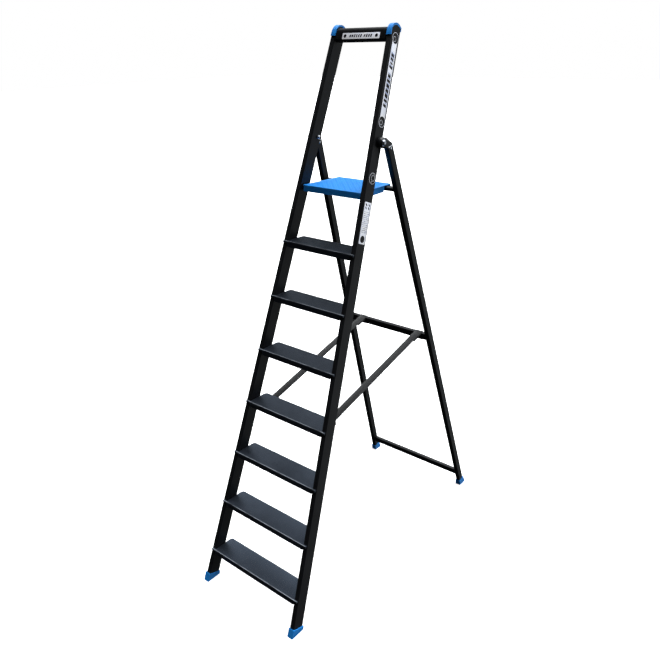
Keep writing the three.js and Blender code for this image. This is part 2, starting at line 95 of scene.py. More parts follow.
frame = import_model()
RECORD = frame["record"]
SLOT_OF = {part["node"]: part["material_slot"] for part in RECORD["subparts"]}
JOINTS = {joint["name"]: joint for joint in frame["joints"]}

MM = 0.001
SIDES = {"left": -1, "right": 1}

# Stance of the two frames, as in the design
FRONT_LEAN = math.radians(20)
REAR_LEAN = math.radians(17.6)
STILE_TAPER = math.radians(2.95)
STILE_SPREAD = 273.5 * MM
STILE_WIDTH = 23 * MM
STILE_DEPTH = 60 * MM
LEG_TAPER = math.radians(3.05)
LEG_SPREAD = 300.9 * MM
LEG_WIDTH = 24.5 * MM
LEG_DEPTH = 34 * MM
LEG_TOP = 2068.2 * MM
HINGE_PIN = Vector(JOINTS["rear_frame_fold"]["pos_m"])
TREADS = 7
TREAD_REACH = 102 * MM  # front line of the stiles to a tread's rear edge
NOSING = 9.3 * MM  # a tread's front edge stands this far out of the stiles
BAR_HALF = (9.5 * MM, 19 * MM)  # half the middle crossbar's depth and height
BAR_CORNER = 4 * MM
TOE = 3.7 * MM  # the front feet stand this far in front of the stiles' plane
HEEL = 45.5 * MM  # the rear feet stand this far behind the legs' plane
PLATFORM_NARROWING = 13 * MM  # the platform's rear is narrower by this on each side
SUNK = 0.05 * MM  # added detail starts this far inside the surface that it stands on

# Nodes kept as they are, with the finish that each gets
CARRIED = {"hinge_washer": "zinc", "hinge_sleeve": "zinc", "hinge_spacer": "nylon", "platform_bush": "nylon"}

# The surroundings, as the object sees them
GLOW_ABOVE = (0, 0.4, 0.917)  # the ways to the middles of the two glows
GLOW_BESIDE = (0.72, 0.69, 0.0)
SIDE_GLOW_EDGE = 0.62  # where the glow beside fades out, as a cosine
GLOW_CORE = 0.93  # both glows are at full strength inside this cosine
GLOW_TINT = (0.93, 0.97, 1, 1)
SUN_SPREAD = math.radians(60)
SUN_TURN = (math.radians(-12), math.radians(6), 0)
FILL_SIZE = 2.2
FILL_PLACE = (2.6, -3.0, 2.2)
FILL_AIM = Vector((0, 0, 1.2))
DARK_SIDES = 0.015  # brightness of the rest of the surroundings
FLOOR_EMISSION = 0.62
FLOOR_HALF = 40

# Where each frame's own plane meets the floor
front_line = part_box("right_front_foot")[0].y + TOE
rear_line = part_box("right_rear_foot")[1].y - HEEL
FRONT = Matrix.Translation((0, front_line, 0)) @ Matrix.Rotation(-FRONT_LEAN, 4, "X")
REAR = Matrix.Translation((0, rear_line, 0)) @ Matrix.Rotation(REAR_LEAN, 4, "X")


def stile_place(side):
    """Axes of a stile: x across it, y through its depth from the front face, z along it."""
    sign = SIDES[side]
    spread = Matrix.Translation((sign * STILE_SPREAD, 0, 0))
    return FRONT @ spread @ Matrix.Rotation(-sign * STILE_TAPER, 4, "Y")


def leg_place(side):
    """Axes of a rear leg, as for a stile."""
    sign = SIDES[side]
    spread = Matrix.Translation((sign * LEG_SPREAD, 0, 0))
    return REAR @ spread @ Matrix.Rotation(-sign * LEG_TAPER, 4, "Y")


# --- sizes and colours a user would change -------------------------------------


def linear(code):
    """The linear colour of an sRGB hex code."""
    parts = [int(code[i : i + 2], 16) / 255 for i in (1, 3, 5)]
    return tuple(c / 12.92 if c <= 0.04045 else ((c + 0.055) / 1.055) ** 2.4 for c in parts)


def length_property(name, description, default):
    """A length in metres."""
    return bpy.props.FloatProperty(
        name=name, description=description, default=default, min=0, unit="LENGTH", precision=5
    )


def colour_property(name, description, code):
    """A colour, given as sRGB hex."""
    return bpy.props.FloatVectorProperty(
        name=name, description=description, default=linear(code), subtype="COLOR", size=3, min=0, max=1
    )


class LadderSizes(bpy.types.PropertyGroup):
    """Sizes of what is added to the frame."""

    tube_edge: length_property("Tube edge", "Rounding of a sawn tube end", 0.35 * MM)
    tread_edge: length_property("Tread edge", "Rounding of a tread's edges", 0.9 * MM)
    moulded_edge: length_property("Moulded edge", "Rounding of a moulded piece's edges", 1.5 * MM)
    rib_pitch: length_property("Rib pitch", "Spacing of the grip ribs on a tread", 4.4 * MM)
    rib_height: length_property("Rib height", "How far a grip rib stands up", 0.5 * MM)
    # The bead's pale colour is a painted highlight along each tread's nosing.
    nosing_width: length_property("Nosing width", "Width of the bare bead along a tread's front", 2.6 * MM)
    rim_width: length_property("Rim width", "Width of the platform's raised rim", 11 * MM)
    stud_pitch: length_property("Stud pitch", "Spacing of the platform's grip bars", 15 * MM)
    strap_width: length_property("Strap width", "Width of the webbing", 40 * MM)
    strap_thickness: length_property("Strap thickness", "Thickness of the webbing", 1.7 * MM)
    stitch_pitch: length_property("Stitch pitch", "Spacing of the stitches in the webbing", 4 * MM)
    label_thickness: length_property("Label thickness", "Thickness of a label", 0.25 * MM)
    grip_lines: bpy.props.IntProperty(
        name="Foot ribs", description="Ribs on each side of a front foot", default=5, min=1, max=12
    )


class LadderColours(bpy.types.PropertyGroup):
    """Colours of the finishes."""

    black: colour_property("Black", "Black anodised tube", "#121315")
    tread: colour_property("Tread", "Dark anodised tread", "#1b1e23")
    # The nosing colour is pale as a painted highlight along each tread's front edge.
    bead: colour_property("Nosing", "Bare bead on a tread's nosing", "#a9b1bb")
    blue: colour_property("Blue", "Moulded platform, caps and feet", "#248ee8")
    nylon: colour_property("Nylon", "Moulded hinge fittings", "#101114")
    zinc: colour_property("Zinc", "Bright plated fixings", "#c9ced6")
    webbing: colour_property("Webbing", "Woven straps", "#191a1c")
    thread: colour_property("Thread", "Stitching in the straps", "#5a5c63")
    label: colour_property("Label", "Silver film labels", "#e9edf6")
    ink: colour_property("Ink", "Print on the labels", "#0c0d10")
    tint: colour_property("Tint", "Blue print on the labels", "#3f6fc4")


class LadderStage(bpy.types.PropertyGroup):
    """Light, floor and camera."""

    camera_place: bpy.props.FloatVectorProperty(
        name="Camera",
        description="Place of the camera",
        default=(1.794, -2.2384, 2.3723),
        subtype="TRANSLATION",
    )
    camera_heading: bpy.props.FloatProperty(
        name="Heading", description="Turn to the left of straight ahead", default=0.6957, unit="ROTATION"
    )
    camera_tilt: bpy.props.FloatProperty(
        name="Tilt", description="Downward tilt", default=0.4074, unit="ROTATION"
    )
    camera_roll: bpy.props.FloatProperty(
        name="Roll", description="Roll about the line of sight", default=-0.0212, unit="ROTATION"
    )
    camera_lens: bpy.props.FloatProperty(
        name="Lens", description="Focal length on a 36 mm sensor", default=36.393, min=1, unit="CAMERA"
    )
    sky: bpy.props.FloatProperty(name="Sky", description="Strength of the glow above", default=2.3, min=0)
    side_glow: bpy.props.FloatProperty(
        name="Side glow", description="Strength of the glow beside", default=0.5, min=0
    )
    glow_edge: bpy.props.FloatProperty(
        name="Glow edge",
        description="Where the glow above fades out, as a cosine",
        default=0.62,
        min=0,
        max=0.9,
    )
    sun: bpy.props.FloatProperty(
        name="Top light", description="Strength of the overhead light", default=3.3, min=0
    )
    fill: bpy.props.FloatProperty(name="Fill", description="Power of the front fill light", default=9, min=0)


def sizes():
    """The ladder's sizes as set in the scene."""
    return bpy.context.scene.ladder_sizes


def colours():
    """The ladder's colours as set in the scene."""
    return bpy.context.scene.ladder_colours


# --- node trees ----------------------------------------------------------------


def add(tree, kind, links=None, **settings):
    """Adds a node with its settings, and sets or links its inputs."""
    node = tree.nodes.new(kind)
    for name, value in settings.items():
        setattr(node, name, value)
    for socket, source in (links or {}).items():
        if isinstance(source, bpy.types.NodeSocket):
            tree.links.new(source, node.inputs[socket])
        else:
            node.inputs[socket].default_value = source
    return node


def surface(name, **sockets):
    """A material with one Principled shader, its plain values set on the shader's own sockets."""
    material = bpy.data.materials.new(name)
    material.use_nodes = True
    shader = material.node_tree.nodes["Principled BSDF"]
    for socket, value in sockets.items():
        shader.inputs[socket.replace("_", " ")].default_value = value
    return material, material.node_tree, shader


def rgba(colour, shade=1.0):
    """A colour with alpha, lightened or darkened."""
    return (*(min(1.0, c * shade) for c in colour), 1.0)


def ramp(tree, factor, low, high, start=0.0, end=1.0):
    """A colour ramp between two colours."""
    node = add(tree, "ShaderNodeValToRGB", {"Fac": factor})
    node.color_ramp.elements[0].position = start
    node.color_ramp.elements[0].color = low
    node.color_ramp.elements[1].position = end
    node.color_ramp.elements[1].color = high
    return node.outputs["Color"]


def spread(tree, factor, low, high):
    """Maps a 0 to 1 factor onto low to high."""
    node = add(tree, "ShaderNodeMapRange", {"Value": factor, "To Min": low, "To Max": high})
    return node.outputs["Result"]


def drawn_lines(tree, turn, stretch, width):
    """Noise drawn out along one axis, as a die leaves on an extrusion; width is the lines' spacing."""
    place = add(tree, "ShaderNodeTexCoord").outputs["Object"]
    scale = tuple(1 / width if s else 1 / stretch for s in (turn[1] != 1, True, turn[1] == 1))
    mapping = add(
        tree, "ShaderNodeMapping", {"Vector": place, "Rotation": (turn[0], 0, 0), "Scale": scale}
    )
    noise = add(
        tree, "ShaderNodeTexNoise", {"Vector": mapping.outputs["Vector"], "Scale": 1.0, "Detail": 3.0}
    )
    return noise.outputs["Fac"]


def cloud(tree, size, detail=3.0):
    """Noise on the piece itself, with patches of about this size."""
    place = add(tree, "ShaderNodeTexCoord").outputs["Object"]
    noise = add(tree, "ShaderNodeTexNoise", {"Vector": place, "Scale": 1 / size, "Detail": detail})
    return noise.outputs["Fac"]


def paint(tree, shader, factor, base, shades, reach=(0.0, 1.0)):
    """Colours the surface between two shades of its base."""
    mottled = ramp(tree, factor, rgba(base, shades[0]), rgba(base, shades[1]), *reach)
    tree.links.new(mottled, shader.inputs["Base Color"])


def roughen(tree, shader, factor, low, high):
    """Varies the surface's roughness between low and high."""
    tree.links.new(spread(tree, factor, low, high), shader.inputs["Roughness"])


def bump(tree, shader, height, depth, strength=1.0):
    """Raises the surface by depth where height is 1."""
    node = add(tree, "ShaderNodeBump", {"Height": height, "Distance": depth, "Strength": strength})
    tree.links.new(node.outputs["Normal"], shader.inputs["Normal"])


def anodised_black(name, lean, along_x=False):
    """Extruded aluminium, black anodised: near black, satin, with faint die lines along the tube."""
    base = colours().black
    material, tree, shader = surface(name, Specular_IOR_Level=0.22, Metallic=0.0)
    lines = drawn_lines(tree, (lean, 0 if along_x else 1), 250 * MM, 1.1 * MM)
    patches = cloud(tree, 90 * MM)
    paint(tree, shader, patches, base, (0.75, 1.35), (0.3, 0.7))
    roughen(tree, shader, lines, 0.3, 0.46)
    bump(tree, shader, lines, 0.04 * MM, 0.35)
    return material


def anodised_tread():
    """Extruded tread, dark anodised: blue-grey, a little shinier than the tubes, lines along its width."""
    base = colours().tread
    material, tree, shader = surface(
        "anodised_tread", Specular_IOR_Level=1.0, Specular_Tint=rgba(linear("#c4dcff"))
    )
    lines = drawn_lines(tree, (0, 0), 300 * MM, 1.6 * MM)
    scuffs = cloud(tree, 35 * MM, 5.0)
    paint(tree, shader, scuffs, base, (0.82, 1.2), (0.35, 0.7))
    roughen(tree, shader, lines, 0.26, 0.42)
    bump(tree, shader, lines, 0.05 * MM, 0.4)
    return material


def painted_highlight_bead():
    """Nosing bead: pale and partly metallic as a painted highlight along the tread's rounded front edge,
    broken by darker patches at random.
    """
    base = colours().bead
    # The pale base colour is a painted highlight; the cloud below breaks it into darker patches.
    material, tree, shader = surface("nosing_painted_highlight", Metallic=0.3)
    wear = cloud(tree, 70 * MM, 5.0)
    paint(tree, shader, wear, base, (0.15, 1.0), (0.34, 0.5))
    roughen(tree, shader, wear, 0.48, 0.3)
    return material


def moulded_blue():
    """Injection moulded polypropylene: strong blue with a fine spark-eroded grain and a soft shine."""
    base = colours().blue
    material, tree, shader = surface("moulded_blue_polypropylene", Specular_IOR_Level=0.5)
    grain = cloud(tree, 1.2 * MM, 2.0)
    flow = cloud(tree, 60 * MM)
    paint(tree, shader, flow, base, (0.9, 1.08), (0.3, 0.7))
    roughen(tree, shader, grain, 0.36, 0.5)
    bump(tree, shader, grain, 0.08 * MM, 0.5)
    return material


def moulded_nylon():
    """Glass-filled nylon: black, satin, faintly mottled."""
    base = colours().nylon
    material, tree, shader = surface("moulded_black_nylon", Specular_IOR_Level=0.4)
    grain = cloud(tree, 0.9 * MM, 2.0)
    paint(tree, shader, cloud(tree, 12 * MM), base, (0.8, 1.3))
    roughen(tree, shader, grain, 0.27, 0.4)
    bump(tree, shader, grain, 0.05 * MM, 0.4)
    return material


def zinc_plate():
    """Bright zinc plate on steel: mirror-like with a faint spangle and fine turning marks."""
    base = colours().zinc
    material, tree, shader = surface("bright_zinc_plate", Metallic=1.0)
    spangle = cloud(tree, 2.5 * MM, 4.0)
    paint(tree, shader, spangle, base, (0.78, 1.05), (0.3, 0.7))
    roughen(tree, shader, spangle, 0.16, 0.3)
    return material


def woven_webbing():
    """Flat polyester webbing: warp cords along the strap, weft across, on the strap's own map in metres.

    Real threads are about 0.6 mm apart. They are drawn 1.6 mm apart so that they show."""
    base = colours().webbing
    material, tree, shader = surface("woven_polyester_webbing", Specular_IOR_Level=0.25, Sheen_Weight=0.35)
    strap = add(tree, "ShaderNodeUVMap", uv_map="strap_map").outputs["UV"]
    across = add(tree, "ShaderNodeSeparateXYZ", {"Vector": strap})
    pitch = 1.6 * MM  # between warp cords
    warp = sine(tree, across.outputs["Y"], pitch)
    weft = sine(tree, across.outputs["X"], pitch * 0.75)
    weave = add(tree, "ShaderNodeMath", {0: warp, 1: weft}, operation="MULTIPLY").outputs["Value"]
    paint(tree, shader, weave, base, (0.6, 1.5))
    roughen(tree, shader, weave, 0.9, 0.7)
    bump(tree, shader, weave, 0.25 * MM, 0.8)
    return material


def sine(tree, value, pitch):
    """A wave from 0 to 1 with this pitch."""
    turned = add(tree, "ShaderNodeMath", {0: value, 1: math.tau / pitch}, operation="MULTIPLY")
    wave = add(tree, "ShaderNodeMath", {0: turned.outputs["Value"]}, operation="SINE")
    return spread_from(tree, wave.outputs["Value"], -1.0, 1.0)


def spread_from(tree, value, low, high):
    """Maps low to high onto 0 to 1."""
    node = add(tree, "ShaderNodeMapRange", {"Value": value, "From Min": low, "From Max": high})
    return node.outputs["Result"]


def silver_film_painted_glow():
    """Metallised polyester label: pale silver, satin, with a faint lilac and blue drift, and a faint painted
    white glow that keeps it pale while facing dark surroundings.
    """
    base = colours().label
    # Emission_Strength is a painted glow: the film lights itself, though it is no lamp.
    material, tree, shader = surface("metallised_label_film_painted_glow", Metallic=0.35, Emission_Strength=0.3)
    drift = cloud(tree, 28 * MM)
    cool = rgba((base[0] * 0.8, base[1] * 0.86, base[2]))
    tree.links.new(ramp(tree, drift, cool, rgba(base), 0.38, 0.62), shader.inputs["Base Color"])
    roughen(tree, shader, cloud(tree, 3 * MM), 0.3, 0.42)
    return material


def printed_ink(name, base):
    """Screen-printed ink: matt, slightly uneven."""
    material, tree, shader = surface(name, Specular_IOR_Level=0.3)
    paint(tree, shader, cloud(tree, 5 * MM), base, (0.85, 1.2))
    roughen(tree, shader, cloud(tree, 2 * MM), 0.45, 0.6)
    return material


def sewing_thread():
    """Bonded polyester thread: twisted, a little paler than the webbing."""
    base = colours().thread
    material, tree, shader = surface(
        "bonded_polyester_thread", Specular_IOR_Level=0.3, Roughness=0.65
    )
    twist = cloud(tree, 0.8 * MM)
    paint(tree, shader, twist, base, (0.7, 1.2))
    return material


FINISHES = {}


def make_finishes():
    """Every finish, by the name the pieces use."""
    FINISHES.update(
        front_tube=anodised_black("black_anodised_stile", FRONT_LEAN),
        rear_tube=anodised_black("black_anodised_leg", -REAR_LEAN),
        cross_tube=anodised_black("black_anodised_crossbar", 0, along_x=True),
        tread=anodised_tread(),
        bead=painted_highlight_bead(),
        blue=moulded_blue(),
        nylon=moulded_nylon(),
        zinc=zinc_plate(),
        webbing=woven_webbing(),
        thread=sewing_thread(),
        label=silver_film_painted_glow(),
        ink=printed_ink("black_label_ink", colours().ink),
        tint=printed_ink("blue_label_ink", colours().tint),
    )


def row_tree():
    """Geometry nodes: copies of a form along a step, centred on the origin, with chance shrinking."""
    made = bpy.data.node_groups.get("row_of_copies")
    if made:
        return made
    tree = bpy.data.node_groups.new("row_of_copies", "GeometryNodeTree")
    sockets = (
        ("Form", "NodeSocketObject"),
        ("Count", "NodeSocketInt"),
        ("Step", "NodeSocketVector"),
        ("Least", "NodeSocketVector"),
        ("Seed", "NodeSocketInt"),
        ("Finish", "NodeSocketMaterial"),
    )
    for name, kind in sockets:
        tree.interface.new_socket(name, in_out="INPUT", socket_type=kind)
    tree.interface.new_socket("Geometry", in_out="OUTPUT", socket_type="NodeSocketGeometry")
    given = add(tree, "NodeGroupInput").outputs
    gaps = add(tree, "ShaderNodeMath", {0: given["Count"], 1: 1.0}, operation="SUBTRACT")
    half = add(tree, "ShaderNodeMath", {0: gaps.outputs[0], 1: -0.5}, operation="MULTIPLY")
    start = add(tree, "ShaderNodeVectorMath", {0: given["Step"], "Scale": half.outputs[0]}, operation="SCALE")
    line = add(
        tree,
        "GeometryNodeMeshLine",
        {"Count": given["Count"], "Start Location": start.outputs[0], "Offset": given["Step"]},
        mode="OFFSET",
    )
    chance = add(
        tree,
        "FunctionNodeRandomValue",
        {0: given["Least"], 1: (1.0, 1.0, 1.0), "Seed": given["Seed"]},
        data_type="FLOAT_VECTOR",
    )
    form = add(tree, "GeometryNodeObjectInfo", {"Object": given["Form"]})
    copies = add(
        tree,
        "GeometryNodeInstanceOnPoints",
        {
            "Points": line.outputs["Mesh"],
            "Instance": form.outputs["Geometry"],
            "Scale": chance.outputs[0],
        },
    )
    finish_tree(tree, copies.outputs["Instances"], given["Finish"])
    return tree


def grid_tree():
    """Geometry nodes: copies of a form on a grid, every other one turned a quarter."""
    tree = bpy.data.node_groups.new("grid_of_copies", "GeometryNodeTree")
    sockets = (
        ("Form", "NodeSocketObject"),
        ("Width", "NodeSocketFloat"),
        ("Length", "NodeSocketFloat"),
        ("Across", "NodeSocketInt"),
        ("Along", "NodeSocketInt"),
        ("Finish", "NodeSocketMaterial"),
    )
    for name, kind in sockets:
        tree.interface.new_socket(name, in_out="INPUT", socket_type=kind)
    tree.interface.new_socket("Geometry", in_out="OUTPUT", socket_type="NodeSocketGeometry")
    given = add(tree, "NodeGroupInput").outputs
    grid = add(
        tree,
        "GeometryNodeMeshGrid",
        {
            "Size X": given["Width"],
            "Size Y": given["Length"],
            "Vertices X": given["Across"],
            "Vertices Y": given["Along"],
        },
    )
    index = add(tree, "GeometryNodeInputIndex")
    odd = add(tree, "ShaderNodeMath", {0: index.outputs[0], 1: 2.0}, operation="MODULO")
    quarter = add(
        tree,
        "ShaderNodeMath",
        {0: odd.outputs[0], 1: math.pi / 2, 2: math.pi / 4},
        operation="MULTIPLY_ADD",
    )
    turn = add(tree, "ShaderNodeCombineXYZ", {"Z": quarter.outputs[0]})
    form = add(tree, "GeometryNodeObjectInfo", {"Object": given["Form"]})
    copies = add(
        tree,
        "GeometryNodeInstanceOnPoints",
        {
            "Points": grid.outputs["Mesh"],
            "Instance": form.outputs["Geometry"],
            "Rotation": turn.outputs[0],
        },
    )
    finish_tree(tree, copies.outputs["Instances"], given["Finish"])
    return tree


def finish_tree(tree, instances, finish):
    """Ends a tree: real copies with one material."""
    real = add(tree, "GeometryNodeRealizeInstances", {"Geometry": instances})
    painted = add(tree, "GeometryNodeSetMaterial", {"Geometry": real.outputs[0], "Material": finish})
    out = add(tree, "NodeGroupOutput")
    tree.links.new(painted.outputs["Geometry"], out.inputs["Geometry"])


def grow(tree, form, inputs):
    """The plain mesh that a tree makes from copies of a form."""
    scene = bpy.context.scene
    pattern = bpy.data.objects.new("pattern", form)
    host = bpy.data.objects.new("host", bpy.data.meshes.new("host"))
    for helper in (pattern, host):
        scene.collection.objects.link(helper)
    modifier = host.modifiers.new("copies", "NODES")
    modifier.node_group = tree
    values = {"Form": pattern, **inputs}
    for item in tree.interface.items_tree:
        if item.in_out == "INPUT":
            modifier[item.identifier] = values[item.name]
    graph = bpy.context.evaluated_depsgraph_get()
    mesh = bpy.data.meshes.new_from_object(host.evaluated_get(graph))
    for helper in (host, pattern):
        bpy.data.objects.remove(helper)
    return mesh


def row_of(form, count, step, finish, least=(1, 1, 1), seed=0):
    """Copies of a form in a row, centred on the origin; least is the smallest chance scale."""
    inputs = {"Count": count, "Step": step, "Least": least, "Seed": seed, "Finish": FINISHES[finish]}
    return grow(row_tree(), form, inputs)


# --- meshes ----------------------------------------------------------------------


def mesh_of(bm):
    """A plain mesh with its faces pointing out."""
    bmesh.ops.recalc_face_normals(bm, faces=bm.faces)
    mesh = bpy.data.meshes.new("form")
    bm.to_mesh(mesh)
    bm.free()
    return mesh


def quarter_turn(steps):
    """Angles from 0 to a right angle."""
    return [math.pi / 2 * step / steps for step in range(steps + 1)]


def rounded_outline(width, height, radius, steps=5):
    """Points round a rectangle with round corners, centred, anticlockwise."""
    points = []
    for number, (x, y) in enumerate(((1, 1), (-1, 1), (-1, -1), (1, -1))):
        centre = (x * (width / 2 - radius), y * (height / 2 - radius))
        for step in range(steps + 1):
            angle = math.pi / 2 * (number + step / steps)
            points.append((centre[0] + radius * math.cos(angle), centre[1] + radius * math.sin(angle)))
    return points


def domed_block(outline, height, edge, steps=3):
    """A flat-based block on an outline in x and y, its top edge rounded inwards."""
    bm = bmesh.new()
    middle = Vector((sum(p[0] for p in outline), sum(p[1] for p in outline), 0)) / len(outline)
    widest = max((Vector((*p, 0)) - middle).length for p in outline)
    rings = [(0.0, 0.0), (0.0, height - edge)]
    rings += [
        (edge * (1 - math.cos(angle)), height - edge + edge * math.sin(angle))
        for angle in quarter_turn(steps)[1:]
    ]
    loops = []
    for inset, level in rings:
        shrink = 1 - inset / widest
        ring = [middle + (Vector((*p, 0)) - middle) * shrink for p in outline]
        loops.append([bm.verts.new((p.x, p.y, level)) for p in ring])
    for low, high in zip(loops, loops[1:]):
        for i in range(len(low)):
            j = (i + 1) % len(low)
            bm.faces.new((low[i], low[j], high[j], high[i]))
    bm.faces.new(loops[0][::-1])
    bm.faces.new(loops[-1])
    return mesh_of(bm)


def bar_form(length, width, height, edge):
    """A bar along x with a rounded top, resting on z = 0."""
    profile = [(-width / 2, 0.0), (width / 2, 0.0)]
    steps = 4
    for step in range(steps + 1):
        angle = math.pi * step / steps
        profile.append((width / 2 * math.cos(angle), height - edge + edge * math.sin(angle)))
    bm = bmesh.new()
    ends = [[bm.verts.new((x, y, z)) for y, z in profile] for x in (-length / 2, length / 2)]
    count = len(profile)
    for i in range(count):
        j = (i + 1) % count
        bm.faces.new((ends[0][i], ends[0][j], ends[1][j], ends[1][i]))
    bm.faces.new(ends[0])
    bm.faces.new(ends[1][::-1])
    return mesh_of(bm)


def turned_form(profile, steps=48):
    """A turned form about x, from (radius, x) pairs that end on the axis or close on themselves."""
    bm = bmesh.new()
    rings = []
    for radius, x in profile:
        if radius < 1e-7:
            rings.append([bm.verts.new((x, 0, 0))])
            continue
        angles = (math.tau * step / steps for step in range(steps))
        rings.append([bm.verts.new((x, radius * math.cos(a), radius * math.sin(a))) for a in angles])
    for low, high in zip(rings, rings[1:]):
        for i in range(steps):
            j = (i + 1) % steps
            corners = [low[i % len(low)], low[j % len(low)], high[j % len(high)], high[i % len(high)]]
            unique = list(dict.fromkeys(corners))
            if len(unique) > 2:
                bm.faces.new(unique)
    bmesh.ops.remove_doubles(bm, verts=bm.verts, dist=1e-6)
    return mesh_of(bm)


def band(path, width, thickness, bow=0.0):
    """A flat band through points (y, z), centred on x = 0, with rounded selvedges and a map in metres."""
    half, t = width / 2, thickness / 2
    section = [
        (t - half, -t),
        (0.0, -t - bow),
        (half - t, -t),
        (half, 0.0),
        (half - t, t),
        (0.0, t - bow),
        (t - half, t),
        (-half, 0.0),
    ]
    bm = bmesh.new()
    layer = bm.loops.layers.uv.new("strap_map")
    rings, run = [], 0.0
    places = [Vector(p) for p in path]
    for i, place in enumerate(places):
        before = places[max(i - 1, 0)]
        after = places[min(i + 1, len(places) - 1)]
        ahead = (after - before).normalized()
        up = Vector((-ahead.y, ahead.x))
        if i:
            run += (place - before).length
        ring = [bm.verts.new((x, place.x + up.x * h, place.y + up.y * h)) for x, h in section]
        rings.append((ring, run))
    count = len(section)
    for (low, a), (high, b) in zip(rings, rings[1:]):
        for i in range(count):
            j = (i + 1) % count
            face = bm.faces.new((low[i], low[j], high[j], high[i]))
            marks = ((a, section[i][0]), (a, section[j][0]), (b, section[j][0]), (b, section[i][0]))
            for loop, mark in zip(face.loops, marks):
                loop[layer].uv = mark
    bm.faces.new(rings[0][0][::-1])
    bm.faces.new(rings[-1][0])
    return mesh_of(bm)


def filleted(corners, steps=6):
    """A path through corners (y, z, radius), each turned on an arc of its radius."""
    path = [Vector(corners[0][:2])]
    for before, corner, after in zip(corners, corners[1:], corners[2:]):
        here = Vector(corner[:2])
        back = (Vector(before[:2]) - here).normalized()
        on = (Vector(after[:2]) - here).normalized()
        opening = math.acos(max(-1.0, min(1.0, back.dot(on))))
        reach = corner[2] / math.tan(opening / 2)
        middle = here + (back + on).normalized() * (corner[2] / math.sin(opening / 2))
        first, last = here + back * reach - middle, here + on * reach - middle
        sweep = first.angle_signed(last)
        for step in range(steps + 1):
            angle = -sweep * step / steps
            spun = Vector(
                (
                    first.x * math.cos(angle) - first.y * math.sin(angle),
                    first.x * math.sin(angle) + first.y * math.cos(angle),
                )
            )
            path.append(middle + spun)
    path.append(Vector(corners[-1][:2]))
    return path


def divided(path, longest):
    """The same path with no stretch longer than this."""
    fine = [path[0]]
    for before, after in zip(path, path[1:]):
        parts = max(1, math.ceil((after - before).length / longest))
        fine += [before.lerp(after, part / parts) for part in range(1, parts + 1)]
    return fine


# --- pieces ------------------------------------------------------------------------


def piece(name, mesh, finish, place=None, smooth=35):
    """Links a finished mesh as an object at the origin, with its place in its mesh."""
    if place is not None:
        mesh.transform(place)
    if finish is not None:
        mesh.materials.clear()
        mesh.materials.append(FINISHES[finish])
    mesh.name = name
    mesh.shade_smooth()
    mesh.set_sharp_from_angle(angle=math.radians(smooth))
    made = bpy.data.objects.new(name, mesh)
    bpy.context.scene.collection.objects.link(made)
    return made


def fit(made, body, slot, *nodes):
    """Rides a piece on its body, hiding the nodes that it stands for; the slot argument is not used."""
    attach(made, body)
    if nodes:
        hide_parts(*nodes)
    return made


def refined(name, node, finish, edge, segments=3, sharp=30):
    """A node's own shape, merged, with its sharp edges rounded."""
    source = frame["nodes"][node]
    bm = bmesh.new()
    bm.from_mesh(source.data)
    bmesh.ops.remove_doubles(bm, verts=bm.verts, dist=2e-6)
    bmesh.ops.dissolve_limit(
        bm, angle_limit=math.radians(0.6), use_dissolve_boundaries=False, verts=bm.verts, edges=bm.edges
    )
    mesh = bpy.data.meshes.new(name)
    bm.to_mesh(mesh)
    bm.free()
    for layer in list(mesh.attributes):
        if layer.name == "custom_normal":
            mesh.attributes.remove(layer)
    made = piece(name, mesh, finish, smooth=sharp)
    bevel = made.modifiers.new("edges", "BEVEL")
    bevel.width = edge
    bevel.segments = segments
    bevel.limit_method = "ANGLE"
    bevel.angle_limit = math.radians(sharp)
    bevel.harden_normals = True
    bevel.use_clamp_overlap = True
    settle(made)
    return fit(made, source["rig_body"], SLOT_OF[node], node)


def settle(made):
    """Turns a piece's modifiers into plain mesh."""
    graph = bpy.context.evaluated_depsgraph_get()
    mesh = bpy.data.meshes.new_from_object(made.evaluated_get(graph))
    made.modifiers.clear()
    made.data = mesh


class Step:
    """Base of the operators: each makes one piece or a group of like pieces."""

    bl_options = {"REGISTER", "UNDO"}

    def execute(self, context):
        self.make(context)
        return {"FINISHED"}


class LADDER_OT_finishes(Step, bpy.types.Operator):
    """Make the ladder's materials"""

    bl_idname = "ladder.finishes"
    bl_label = "Finishes"

    def make(self, context):
        make_finishes()


class LADDER_OT_tubes(Step, bpy.types.Operator):
    """Finish the stiles, rear legs and crossbars"""

    bl_idname = "ladder.tubes"
    bl_label = "Tubes"

    def make(self, context):
        edge = sizes().tube_edge
        for side in SIDES:
            refined(f"{side}_stile_tube", f"{side}_stile", "front_tube", edge, 2)
            refined(f"{side}_rear_leg_tube", f"{side}_rear_leg", "rear_tube", edge, 2)
        for level in ("lower", "middle", "upper"):
            refined(f"{level}_crossbar_tube", f"{level}_crossbar", "cross_tube", edge, 2)
        refined("top_crossbar_tube", "top_crossbar", "cross_tube", 2 * edge)


